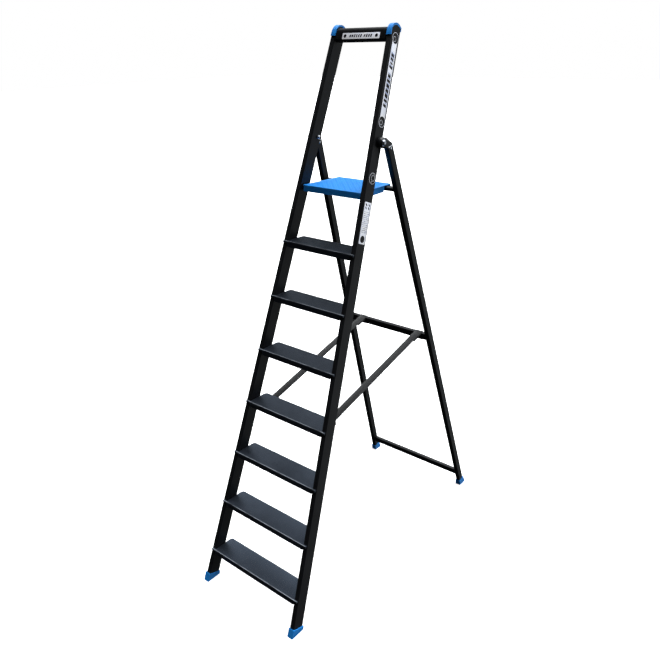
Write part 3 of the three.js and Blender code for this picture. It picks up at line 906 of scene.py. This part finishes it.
class LADDER_OT_treads(Step, bpy.types.Operator):
    """Finish the treads, with grip ribs and a nosing bead coloured pale as a painted highlight"""

    bl_idname = "ladder.treads"
    bl_label = "Treads"

    def make(self, context):
        size = sizes()
        for number in range(1, TREADS + 1):
            node = f"tread_{number}"
            refined(f"{node}_plate", node, "tread", size.tread_edge)
            low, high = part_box(node)
            self.add_ribs(node, high.z, low.y, size)
            self.add_bead(node, high.z, low.y, high.x - low.x, size)

    def add_ribs(self, node, top, front, size):
        """Grip ribs across the tread, between the stiles."""
        rear = front + NOSING + TREAD_REACH
        gap, margin, rib_width, rounding = 6 * MM, 9 * MM, 1.7 * MM, 0.4 * MM
        rib_half = self.half_at(top, rear) - gap
        first, last = front + margin, rear - margin
        count = int((last - first) / size.rib_pitch) + 1
        form = bar_form(2 * rib_half, rib_width, size.rib_height, rounding)
        ribs = row_of(form, count, (0, size.rib_pitch, 0), "tread")
        place = Matrix.Translation((0, (first + last) / 2, top - SUNK))
        fit(piece(f"{node}_ribs", ribs, None, place), "front_frame", SLOT_OF[node])

    def add_bead(self, node, top, front, width, size):
        """A rounded bead along the front edge, coloured pale as a painted highlight."""
        inset, height, rounding, sunk = 0.9 * MM, 1.1 * MM, 0.9 * MM, 0.25 * MM
        form = bar_form(width - 2 * MM, size.nosing_width, height, rounding)
        place = Matrix.Translation((0, front + size.nosing_width / 2 + inset, top - sunk))
        fit(piece(f"{node}_nosing", form, "bead", place), "front_frame", SLOT_OF[node])

    @staticmethod
    def half_at(height, rear):
        """Half the room between the stiles at a tread's rear edge."""
        along = (FRONT.inverted() @ Vector((0, rear, height))).z
        return STILE_SPREAD - STILE_WIDTH / 2 - along * math.tan(STILE_TAPER)


class LADDER_OT_platform(Step, bpy.types.Operator):
    """Finish the platform, with its raised rim and grip bars"""

    bl_idname = "ladder.platform"
    bl_label = "Platform"

    def make(self, context):
        size = sizes()
        refined("platform_tray", "platform", "blue", 2.2 * MM, 4)
        low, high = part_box("platform")
        self.add_rim(low, high, size)
        self.add_grip(low, high, size)
        for side, sign in SIDES.items():
            self.add_pivot(side, sign)

    def add_rim(self, low, high, size):
        """A rim round the top, a little in from the edge."""
        inset, outer_corner, inner_corner = 3 * MM, 9 * MM, 5 * MM
        width = size.rim_width
        front_half, rear_half = high.x - inset, high.x - PLATFORM_NARROWING - inset
        front, rear = low.y + inset, high.y - inset
        outer = self.plan(front_half, rear_half, front, rear, outer_corner)
        inner = self.plan(front_half - width, rear_half - width, front + width, rear - width, inner_corner)
        bm = bmesh.new()
        slope, rise = 1.3 * MM, 1.2 * MM
        rings = []
        for share, level in ((0.0, 0.0), (slope / width, rise), (1 - slope / width, rise), (1.0, 0.0)):
            height = high.z + level - SUNK
            rings.append([bm.verts.new((*a.lerp(b, share), height)) for a, b in zip(outer, inner)])
        rings.append(rings[0])
        for a, b in zip(rings, rings[1:]):
            for i in range(len(a)):
                j = (i + 1) % len(a)
                bm.faces.new((a[i], a[j], b[j], b[i]))
        fit(piece("platform_rim", mesh_of(bm), "blue", smooth=60), "platform", SLOT_OF["platform"])

    @staticmethod
    def plan(front_half, rear_half, front, rear, radius, steps=6):
        """The platform's outline, narrower behind, with round corners."""
        corners = ((rear_half, rear), (-rear_half, rear), (-front_half, front), (front_half, front))
        points = []
        for number, (x, y) in enumerate(corners):
            centre = Vector((x - math.copysign(radius, x), y + (radius if number > 1 else -radius)))
            for step in range(steps + 1):
                angle = math.pi / 2 * (number + step / steps)
                points.append(centre + radius * Vector((math.cos(angle), math.sin(angle))))
        return points

    def add_grip(self, low, high, size):
        """Raised grip bars set crosswise inside the rim."""
        margin = size.rim_width + 12 * MM
        width = 2 * (high.x - PLATFORM_NARROWING - margin)
        length = high.y - low.y - 2 * margin
        across = int(width / size.stud_pitch) // 2 * 2 + 1
        along = int(length / size.stud_pitch) // 2 * 2 + 1
        bar_length, bar_width, bar_end, bar_height, rounding = 9 * MM, 2.6 * MM, 1.2 * MM, 0.8 * MM, 0.5 * MM
        form = domed_block(rounded_outline(bar_length, bar_width, bar_end, 3), bar_height, rounding)
        inputs = {
            "Width": width,
            "Length": length,
            "Across": across,
            "Along": along,
            "Finish": FINISHES["blue"],
        }
        place = Matrix.Translation((0, (low.y + high.y) / 2, high.z - SUNK))
        grip = piece("platform_grip", grow(grid_tree(), form, inputs), None, place)
        fit(grip, "platform", SLOT_OF["platform"])

    def add_pivot(self, side, sign):
        """A plated pin with a domed head at a front corner."""
        node = f"{side}_platform_pin"
        low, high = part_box(node)
        inner, outer = (low.x, high.x) if sign > 0 else (-high.x, -low.x)
        centre = (low + high) / 2
        head, shank = 7 * MM, 4 * MM
        profile = [
            (0, inner),
            (0.55 * head, inner + 0.2 * MM),
            (0.85 * head, inner + 0.9 * MM),
            (head, inner + 1.8 * MM),
            (head, inner + 2.4 * MM),
            (shank, inner + 2.4 * MM),
            (shank, outer - 0.6 * MM),
            (shank - 0.6 * MM, outer),
            (0, outer),
        ]
        mirror = Matrix.Scale(sign, 4, (1, 0, 0))
        place = Matrix.Translation((0, centre.y, centre.z)) @ mirror
        mesh = turned_form(profile)
        mesh.transform(place)
        if sign < 0:
            mesh.flip_normals()
        fit(piece(f"{side}_pivot_pin", mesh, "zinc"), "platform", SLOT_OF[node], node)


class LADDER_OT_caps_and_feet(Step, bpy.types.Operator):
    """Finish the blue top caps and the four feet"""

    bl_idname = "ladder.caps_and_feet"
    bl_label = "Caps and feet"

    def make(self, context):
        edge = sizes().moulded_edge
        for side in SIDES:
            refined(f"{side}_cap_bumper", f"{side}_top_cap", "blue", edge, 4, 40)
            refined(f"{side}_front_boot", f"{side}_front_foot", "blue", edge, 4)
            refined(f"{side}_rear_boot", f"{side}_rear_foot", "blue", edge, 4)
            self.add_ribs(side)

    def add_ribs(self, side):
        """Upright grip ribs on both cheeks of a front foot."""
        low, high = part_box(f"{side}_front_foot")
        length, width, height, rounding = 17 * MM, 2.4 * MM, 0.9 * MM, 0.4 * MM
        pitch, level = 10 * MM, 11.5 * MM
        form = bar_form(length, width, height, rounding)
        middle = (low.y + high.y) / 2
        cheeks = bmesh.new()
        for face, sign in ((low.x, -1), (high.x, 1)):
            ribs = row_of(form.copy(), sizes().grip_lines, (0, pitch, 0), "blue", (0.8, 1, 1), 4)
            turn = Matrix(((0, 0, sign, face), (0, 1, 0, middle), (1, 0, 0, level), (0, 0, 0, 1)))
            ribs.transform(turn)
            cheeks.from_mesh(ribs)
        mesh = mesh_of(cheeks)
        fit(piece(f"{side}_boot_ribs", mesh, "blue"), "front_frame", SLOT_OF[f"{side}_front_foot"])


class LADDER_OT_hinges(Step, bpy.types.Operator):
    """Finish the hinge knuckles with their bolts, washers, dome nuts and rivets"""

    bl_idname = "ladder.hinges"
    bl_label = "Hinges"

    def make(self, context):
        for side, sign in SIDES.items():
            refined(f"{side}_knuckle_fitting", f"{side}_hinge_knuckle", "nylon", 2.4 * MM, 4)
            self.add_bolt(side, sign)
            self.add_nut(side, sign)
            self.add_rivet(side, sign)
            self.add_collar(side)
            for kind, finish in CARRIED.items():
                frame["nodes"][f"{side}_{kind}"].data.materials[0] = FINISHES[finish]

    def turned(self, name, profile, centre, sign, finish, body, slot, *nodes):
        """A turned piece across the ladder, drawn for the right side and mirrored for the left."""
        mesh = turned_form(profile)
        mesh.transform(Matrix.Translation((0, centre.y, centre.z)) @ Matrix.Scale(sign, 4, (1, 0, 0)))
        if sign < 0:
            mesh.flip_normals()
        fit(piece(name, mesh, finish), body, slot, *nodes)

    def reach(self, node, sign):
        """A node's inner and outer x, as on the right side, and its centre."""
        low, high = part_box(node)
        ends = (low.x, high.x) if sign > 0 else (-high.x, -low.x)
        return (*ends, (low + high) / 2)

    def add_bolt(self, side, sign):
        """Dome head, 26 mm across, with a small flange, on a plain shank."""
        node = f"{side}_hinge_bolt"
        tip, top, centre = self.reach(node, sign)
        head, rise, shank = 12.9 * MM, 9 * MM, 5 * MM
        seat = top - rise
        brim = seat + 1.3 * MM
        dome = [
            ((head - 1.2 * MM) * math.cos(angle), brim + (top - brim) * math.sin(angle))
            for angle in quarter_turn(10)
        ]
        dome[-1] = (0, top)
        profile = [(0, tip), (shank - 0.8 * MM, tip), (shank, tip + 0.8 * MM), (shank, seat)]
        profile += [(head, seat), (head, seat + 0.7 * MM), (head - 0.5 * MM, seat + 1.2 * MM), *dome]
        self.turned(f"{side}_dome_bolt", profile, centre, sign, "zinc", "front_frame", SLOT_OF[node], node)

    def add_nut(self, side, sign):
        """Dome nut on the stile's inner face."""
        node = f"{side}_hinge_nut"
        tip, base, centre = self.reach(node, sign)
        outer, bore, crown = 8.9 * MM, 5.3 * MM, 6.8 * MM
        dome = [
            (crown * math.sin(angle), tip + 5.5 * MM * (1 - math.cos(angle))) for angle in quarter_turn(8)
        ]
        profile = [(bore, base), (bore, base - 7 * MM), (0, base - 7 * MM)]
        shell = [
            (crown, tip + 6 * MM),
            (outer, tip + 6 * MM),
            (outer, base - 0.6 * MM),
            (outer - 0.6 * MM, base),
        ]
        profile += [*dome, *shell, (bore, base)]
        self.turned(f"{side}_dome_nut", profile, centre, sign, "zinc", "front_frame", SLOT_OF[node], node)

    def add_rivet(self, side, sign):
        """Rivet through the leg and the knuckle's plug, domed outside."""
        node = f"{side}_plug_rivet"
        inner, outer, centre = self.reach(node, sign)
        head, shank, rise = 4.6 * MM, 3 * MM, 2.2 * MM
        dome = [
            (head * math.cos(angle), outer - rise + rise * math.sin(angle))
            for angle in quarter_turn(6)[:-1]
        ]
        profile = [
            (0, inner),
            (head - 0.8 * MM, inner + 0.4 * MM),
            (head, inner + 1.4 * MM),
            (shank, inner + 1.6 * MM),
        ]
        profile += [(shank, outer - rise), *dome, (0, outer)]
        self.turned(f"{side}_domed_rivet", profile, centre, sign, "zinc", "rear_frame", SLOT_OF[node], node)

    def add_collar(self, side):
        """The knuckle's flange where it sits on the leg's end, in the bright plated finish, which draws a
        pale line round the knuckle's base.
        """
        overhang, corner, height, rounding = 1.6 * MM, 5.5 * MM, 3.6 * MM, 1.1 * MM
        outline = rounded_outline(LEG_WIDTH + overhang, LEG_DEPTH + overhang, corner)
        form = domed_block(outline, height, rounding)
        place = leg_place(side) @ Matrix.Translation((0, LEG_DEPTH / 2, LEG_TOP))
        slot = SLOT_OF[f"{side}_hinge_knuckle"]
        fit(piece(f"{side}_knuckle_collar", form, "zinc", place), "rear_frame", slot)


class LADDER_OT_labels(Step, bpy.types.Operator):
    """Lay plain silver labels with generic marks on the stile and the top crossbar"""

    bl_idname = "ladder.labels"
    bl_label = "Labels"

    def make(self, context):
        self.mark_top_bar()
        self.mark_long_label()
        self.mark_roundel()
        self.mark_safety_label()

    def film(self, name, width, height, radius, place):
        """A thin film: width along x and height along y of its place, standing out along z."""
        form = domed_block(rounded_outline(width, height, radius), sizes().label_thickness, 0.1 * MM, 2)
        return fit(piece(name, form, "label", place), "front_frame", "zinc_steel")

    def marks(self, name, count, step, mark, place, finish="ink", lean=0.25, least=(0.6, 0.75, 1), seed=1):
        """A row of slanted bars printed on a label, along x of its place."""
        width, height = mark
        slant = height / 2 * lean
        outline = [
            (-width / 2 - slant, -height / 2),
            (width / 2 - slant, -height / 2),
            (width / 2 + slant, height / 2),
            (-width / 2 + slant, height / 2),
        ]
        form = domed_block(outline, 0.06 * MM, 0.02 * MM, 1)
        printed = row_of(form, count, (step, 0, 0), finish, least, seed)
        raised = place @ Matrix.Translation((0, 0, sizes().label_thickness))
        return fit(piece(name, printed, None, raised), "front_frame", "black_plastic")

    def disc(self, name, outer, inner, place, finish="ink"):
        """A printed ring, or a dot where inner is 0."""
        rise = 0.1 * MM
        if inner:
            profile = [(inner, 0), (outer, 0), (outer, rise), (inner, rise), (inner, 0)]
        else:
            profile = [(0, 0), (outer, 0), (outer, rise), (0, rise)]
        raised = place @ Matrix.Translation((0, 0, sizes().label_thickness))
        upright = raised @ Matrix.Rotation(-math.pi / 2, 4, "Y")
        return fit(piece(name, turned_form(profile), finish, upright), "front_frame", "black_plastic")

    def mark_top_bar(self):
        """A label along the front of the top crossbar: two groups of marks between two dots."""
        face = Matrix.Translation((3 * MM, 0.5 * MM, 2547.5 * MM)) @ Matrix.Rotation(math.pi / 2, 4, "X")
        middle = FRONT @ face
        self.film("top_label", 190 * MM, 24 * MM, 1.5 * MM, middle)
        for number, (x, count) in enumerate(((-26, 6), (36, 4)), 1):
            group = middle @ Matrix.Translation((x * MM, 0, 0))
            self.marks(f"top_label_marks_{number}", count, 11 * MM, (8.5 * MM, 13 * MM), group, seed=number)
        for number, x in enumerate((-81, 79), 1):
            self.disc(f"top_label_dot_{number}", 7.2 * MM, 0, middle @ Matrix.Translation((x * MM, 0, 0)))

    def stile_face(self, depth, along):
        """Axes on the right stile's outer face: x up the stile, y towards the front, z outwards."""
        turn = Matrix(((0, 0, 1, 0), (0, -1, 0, 0), (1, 0, 0, 0), (0, 0, 0, 1)))
        return stile_place("right") @ Matrix.Translation((STILE_WIDTH / 2, depth, along)) @ turn

    def mark_long_label(self):
        """The long label up the handrail: two groups of slanted marks, and a ringed disc at each end."""
        middle = self.stile_face(33 * MM, 2384 * MM)
        self.film("rail_label", 328 * MM, 34 * MM, 6 * MM, middle)
        groups = (("lower", -42, 7, 19.4, 14.5), ("upper", 74, 4, 15.5, 11.5))
        for name, x, count, step, width in groups:
            group = middle @ Matrix.Translation((x * MM, 0, 0))
            tint = group @ Matrix.Translation((step * MM / 2, 0, 0))
            size = (width * MM, 24 * MM)
            line = (2.5 * MM, 28 * MM)
            self.marks(f"rail_label_marks_{name}", count, step * MM, size, group, seed=count)
            self.marks(f"rail_label_tint_{name}", count, step * MM, line, tint, "tint", seed=count)
        for number, x in enumerate((-164, 164), 1):
            end = middle @ Matrix.Translation((x * MM, 0, 0))
            self.disc(f"rail_label_disc_{number}", 22 * MM, 0, end)
            lifted = end @ Matrix.Translation((0, 0, 0.1 * MM))
            self.disc(f"rail_label_ring_{number}", 22 * MM, 20.6 * MM, lifted, "label")
            curl = lifted @ Matrix.Translation((-4 * MM, 5 * MM, 0))
            self.disc(f"rail_label_curl_{number}", 10 * MM, 8.8 * MM, curl, "label")

    def mark_roundel(self):
        """A round mark: thin rings and a short bar on a dark disc."""
        middle = self.stile_face(33.6 * MM, 1992 * MM)
        flush = middle @ Matrix.Translation((0, 0, 0.02 * MM - sizes().label_thickness))
        self.disc("roundel_field", 23 * MM, 0, flush)
        raised = flush @ Matrix.Translation((0, 0, 0.1 * MM))
        self.disc("roundel_ring", 22.6 * MM, 21.4 * MM, raised, "label")
        inner = raised @ Matrix.Translation((2 * MM, -3 * MM, 0))
        self.disc("roundel_inner_ring", 12.5 * MM, 11.3 * MM, inner, "label")
        bar = raised @ Matrix.Translation((-14 * MM, 3 * MM, 0))
        self.film("roundel_bar", 6 * MM, 3 * MM, 1.2 * MM, bar)

    def mark_safety_label(self):
        """A plain data label: rows of short strokes for small print, two dark signs and a dark disc."""
        middle = self.stile_face(31.5 * MM, 1809 * MM)
        self.film("data_label", 172 * MM, 44 * MM, 5 * MM, middle)
        for number, y in enumerate((-14, -5, 5, 14), 1):
            row = middle @ Matrix.Translation((4 * MM, y * MM, 0))
            size = (5.5 * MM, 5 * MM)
            name = f"data_label_row_{number}"
            self.marks(name, 12, 7.5 * MM, size, row, least=(0.35, 0.6, 1), lean=0, seed=10 + number)
        for number, y in enumerate((-10, 10), 1):
            sign = middle @ Matrix.Translation((68 * MM, y * MM, 0))
            size = (9 * MM, 13 * MM)
            self.marks(f"data_label_sign_{number}", 2, 13 * MM, size, sign, lean=0.6, seed=number)
        self.disc("data_label_dot", 15 * MM, 0, middle @ Matrix.Translation((-66 * MM, 0, 0)))


class LADDER_OT_straps(Step, bpy.types.Operator):
    """Weave the two limit straps, sewn round the middle crossbar"""

    bl_idname = "ladder.straps"
    bl_label = "Straps"

    def make(self, context):
        for side in SIDES:
            self.add_strap(side)
            refined(f"{side}_clamp_plate", f"{side}_strap_clamp", "zinc", 0.4 * MM, 2)
            self.add_clamp_rivets(side)

    def route(self):
        """The strap's path (y, z): under the clamp, over the tread's rear edge, round the bar and back."""
        size = sizes()
        skin = size.strap_thickness / 2
        tread_low, tread_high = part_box("tread_4")
        behind = tread_high.y + skin + 0.3 * MM
        low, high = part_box("middle_crossbar")
        centre = (low + high) / 2
        out = skin + 0.35 * MM
        half_depth, half_height = (half + out for half in BAR_HALF)
        corners = ((-1, 1), (1, 1), (1, -1), (-1, -1))
        spin = Matrix.Rotation(REAR_LEAN, 2)
        bar = []
        for y, z in corners:
            corner = spin @ Vector((y * half_depth, z * half_height))
            bar.append((centre.y + corner.x, centre.z + corner.y, BAR_CORNER + out))
        seam = 62 * MM  # length of the lap that is sewn
        start = Vector((behind, tread_high.z - 3 * MM))
        entry = Vector(bar[0][:2])
        run = (entry - start).normalized()
        below = Vector((run.y, -run.x)) * (2 * skin + 0.25 * MM)
        front_low = Vector(bar[3][:2])
        front_face = (entry - front_low).normalized()
        meet = entry - front_face * 7 * MM + below * 0.6
        tail = meet - run * seam
        path = [
            (behind, tread_low.z + 1 * MM, 0),
            (behind, start.y, 4 * MM),
            *bar,
            (meet.x, meet.y, 2.5 * MM),
            (tail.x, tail.y, 0),
        ]
        return path, start, entry, run, seam

    def add_strap(self, side):
        """One strap with its box of stitches."""
        size = sizes()
        node = f"{side}_strap"
        low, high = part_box(node)
        x = (low.x + high.x) / 2
        corners, start, entry, run, seam = self.route()
        path = divided(filleted(corners), 12 * MM)
        mesh = band(path, size.strap_width, size.strap_thickness, 0.15 * MM)
        strap = piece(f"{side}_webbing_strap", mesh, "webbing", Matrix.Translation((x, 0, 0)), smooth=50)
        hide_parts(node)
        near_tread = (x, start.x + 20 * MM, start.y)
        near_bar = (x, *(entry - run * (seam + 20 * MM)))
        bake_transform(strap, "front_frame", "rear_frame", start=near_tread, end=near_bar)
        stitches = self.add_stitches(side, x, entry, run, seam)

    def add_stitches(self, side, x, entry, run, seam):
        """A box of stitches through both layers of the seam."""
        size = sizes()
        stitch, thread, height, rounding = 2.6 * MM, 0.9 * MM, 0.5 * MM, 0.4 * MM
        form = bar_form(stitch, thread, height, rounding)
        width, length = size.strap_width - 10 * MM, seam - 22 * MM
        middle = entry - run * (seam / 2 + 2 * MM)
        up = Vector((-run.y, run.x))
        middle = middle + up * (size.strap_thickness / 2 - 0.1 * MM)
        axes = Matrix(((1, 0, 0, x), (0, run.x, up.x, middle.x), (0, run.y, up.y, middle.y), (0, 0, 0, 1)))
        rows = []
        for across, along, turned_by, run_length in (
            (0, length / 2, 0, width),
            (0, -length / 2, 0, width),
            (width / 2, 0, math.pi / 2, length),
            (-width / 2, 0, math.pi / 2, length),
        ):
            count = max(3, round(run_length / size.stitch_pitch))
            row = row_of(form, count, (run_length / count, 0, 0), "thread")
            side_of_box = Matrix.Translation((across, along, 0)) @ Matrix.Rotation(turned_by, 4, "Z")
            row.transform(axes @ side_of_box)
            rows.append(row)
        bm = bmesh.new()
        for row in rows:
            bm.from_mesh(row)
        stitches = piece(f"{side}_strap_stitches", mesh_of(bm), "thread")
        return fit(stitches, "rear_frame", "webbing")

    def add_clamp_rivets(self, side):
        """Two small rivets through the clamp plate."""
        low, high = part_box(f"{side}_strap_clamp")
        middle = (low + high) / 2
        profile = [(2.6 * MM, 0), (2.5 * MM, 0.5 * MM), (1.6 * MM, 1.0 * MM), (0, 1.2 * MM), (0, 0)]
        form = turned_form(profile, 20)
        form.transform(Matrix.Rotation(math.pi / 2, 4, "Z"))
        pair = row_of(form, 2, (30 * MM, 0, 0), "zinc")
        place = Matrix.Translation((middle.x, high.y - SUNK, middle.z))
        rivets = piece(f"{side}_clamp_rivets", pair, None, place)
        fit(rivets, "front_frame", "zinc_steel")


class LADDER_OT_stage(Step, bpy.types.Operator):
    """Set the floor, the soft studio light and the camera"""

    bl_idname = "ladder.stage"
    bl_label = "Stage"

    def make(self, context):
        stage = context.scene.ladder_stage
        context.scene.view_settings.view_transform = "Standard"
        self.add_floor(context)
        self.add_world(context, stage)
        self.add_lights(context, stage)
        self.add_camera(context, stage)

    def add_floor(self, context):
        """A plain pale floor, well wider than the view."""
        material, tree, shader = surface(
            "pale_floor_paint", Specular_IOR_Level=0.0, Emission_Strength=FLOOR_EMISSION
        )
        soft = ramp(tree, cloud(tree, 2.5), rgba(linear("#f6f6f6")), rgba(linear("#ffffff")))
        tree.links.new(soft, shader.inputs["Base Color"])
        roughen(tree, shader, cloud(tree, 0.4), 0.85, 1.0)
        bm = bmesh.new()
        bmesh.ops.create_grid(bm, x_segments=24, y_segments=24, size=FLOOR_HALF)
        floor = bpy.data.objects.new("studio_floor", mesh_of(bm))
        floor.data.materials.append(material)
        floor.visible_glossy = False
        floor.visible_diffuse = False
        context.scene.collection.objects.link(floor)

    def add_world(self, context, stage):
        """White to the camera; for the object a glow above, a weaker one beside, and dark elsewhere."""
        world = bpy.data.worlds.new("studio")
        world.use_nodes = True
        tree = world.node_tree
        tree.nodes.clear()
        ray = add(tree, "ShaderNodeTexCoord").outputs["Generated"]
        strength = DARK_SIDES
        for towards, edge, glow in (
            (GLOW_ABOVE, stage.glow_edge, stage.sky),
            (GLOW_BESIDE, SIDE_GLOW_EDGE, stage.side_glow),
        ):
            aim = add(tree, "ShaderNodeVectorMath", {0: ray, 1: towards}, operation="DOT_PRODUCT")
            fade = {"Value": aim.outputs["Value"], "From Min": edge, "From Max": GLOW_CORE, "To Max": glow}
            patch = add(tree, "ShaderNodeMapRange", fade, interpolation_type="SMOOTHSTEP")
            total = add(tree, "ShaderNodeMath", {0: patch.outputs["Result"], 1: strength}, operation="ADD")
            strength = total.outputs[0]
        light = add(tree, "ShaderNodeBackground", {"Color": GLOW_TINT, "Strength": strength})
        white = add(tree, "ShaderNodeBackground", {"Color": (1, 1, 1, 1), "Strength": 1.0})
        seen = add(tree, "ShaderNodeLightPath").outputs["Is Camera Ray"]
        mixed = add(tree, "ShaderNodeMixShader", {0: seen, 1: light.outputs[0], 2: white.outputs[0]})
        add(tree, "ShaderNodeOutputWorld", {"Surface": mixed.outputs[0]})
        context.scene.world = world

    def add_lights(self, context, stage):
        """A broad overhead light from a little behind, and a weak soft fill in front."""
        sun = bpy.data.lights.new("overhead", "SUN")
        sun.energy = stage.sun
        sun.angle = SUN_SPREAD
        overhead = bpy.data.objects.new("overhead", sun)
        overhead.rotation_euler = SUN_TURN
        fill = bpy.data.lights.new("fill", "AREA")
        fill.energy = stage.fill
        fill.size = FILL_SIZE
        front = bpy.data.objects.new("fill", fill)
        front.location = FILL_PLACE
        aim = FILL_AIM - front.location
        front.rotation_euler = aim.to_track_quat("-Z", "Y").to_euler()
        front.visible_glossy = False
        for light in (overhead, front):
            context.scene.collection.objects.link(light)

    def add_camera(self, context, stage):
        """The camera, from its place, heading, tilt and roll."""
        heading, tilt, roll = stage.camera_heading, -stage.camera_tilt, stage.camera_roll
        ahead = Vector(
            (-math.sin(heading) * math.cos(tilt), math.cos(heading) * math.cos(tilt), math.sin(tilt))
        )
        level = ahead.cross(Vector((0, 0, 1))).normalized()
        upright = level.cross(ahead)
        right = level * math.cos(roll) + upright * math.sin(roll)
        up = upright * math.cos(roll) - level * math.sin(roll)
        lens = bpy.data.cameras.new("camera")
        lens.lens = stage.camera_lens
        lens.sensor_width = 36
        camera = bpy.data.objects.new("camera", lens)
        turn = Matrix((right, up, -ahead)).transposed().to_4x4()
        camera.matrix_world = Matrix.Translation(stage.camera_place) @ turn
        context.scene.collection.objects.link(camera)
        context.scene.camera = camera


OPERATORS = (
    LADDER_OT_finishes,
    LADDER_OT_stage,
    LADDER_OT_tubes,
    LADDER_OT_treads,
    LADDER_OT_platform,
    LADDER_OT_caps_and_feet,
    LADDER_OT_hinges,
    LADDER_OT_labels,
    LADDER_OT_straps,
)


class LADDER_PT_sidebar(bpy.types.Panel):
    """Lists the ladder's steps and settings"""

    bl_idname = "LADDER_PT_sidebar"
    bl_label = "Step Ladder"
    bl_space_type = "VIEW_3D"
    bl_region_type = "UI"
    bl_category = "Step Ladder"

    def draw(self, context):
        column = self.layout.column()
        for operator in OPERATORS:
            column.operator(operator.bl_idname)
        for group in (context.scene.ladder_sizes, context.scene.ladder_colours, context.scene.ladder_stage):
            box = self.layout.box()
            for name in group.bl_rna.properties.keys():
                if name not in ("rna_type", "name"):
                    box.prop(group, name)


GROUPS = {"ladder_sizes": LadderSizes, "ladder_colours": LadderColours, "ladder_stage": LadderStage}


def register():
    """Registers the settings, the operators and the panel."""
    for name, group in GROUPS.items():
        bpy.utils.register_class(group)
        setattr(bpy.types.Scene, name, bpy.props.PointerProperty(type=group))
    for operator in OPERATORS:
        bpy.utils.register_class(operator)
    bpy.utils.register_class(LADDER_PT_sidebar)


def unregister():
    """Undoes register."""
    bpy.utils.unregister_class(LADDER_PT_sidebar)
    for operator in reversed(OPERATORS):
        bpy.utils.unregister_class(operator)
    for name, group in GROUPS.items():
        delattr(bpy.types.Scene, name)
        bpy.utils.unregister_class(group)


def main():
    """Makes the whole ladder."""
    register()
    for operator in OPERATORS:
        group, name = operator.bl_idname.split(".")
        getattr(getattr(bpy.ops, group), name)()


if __name__ == "__main__":
    main()
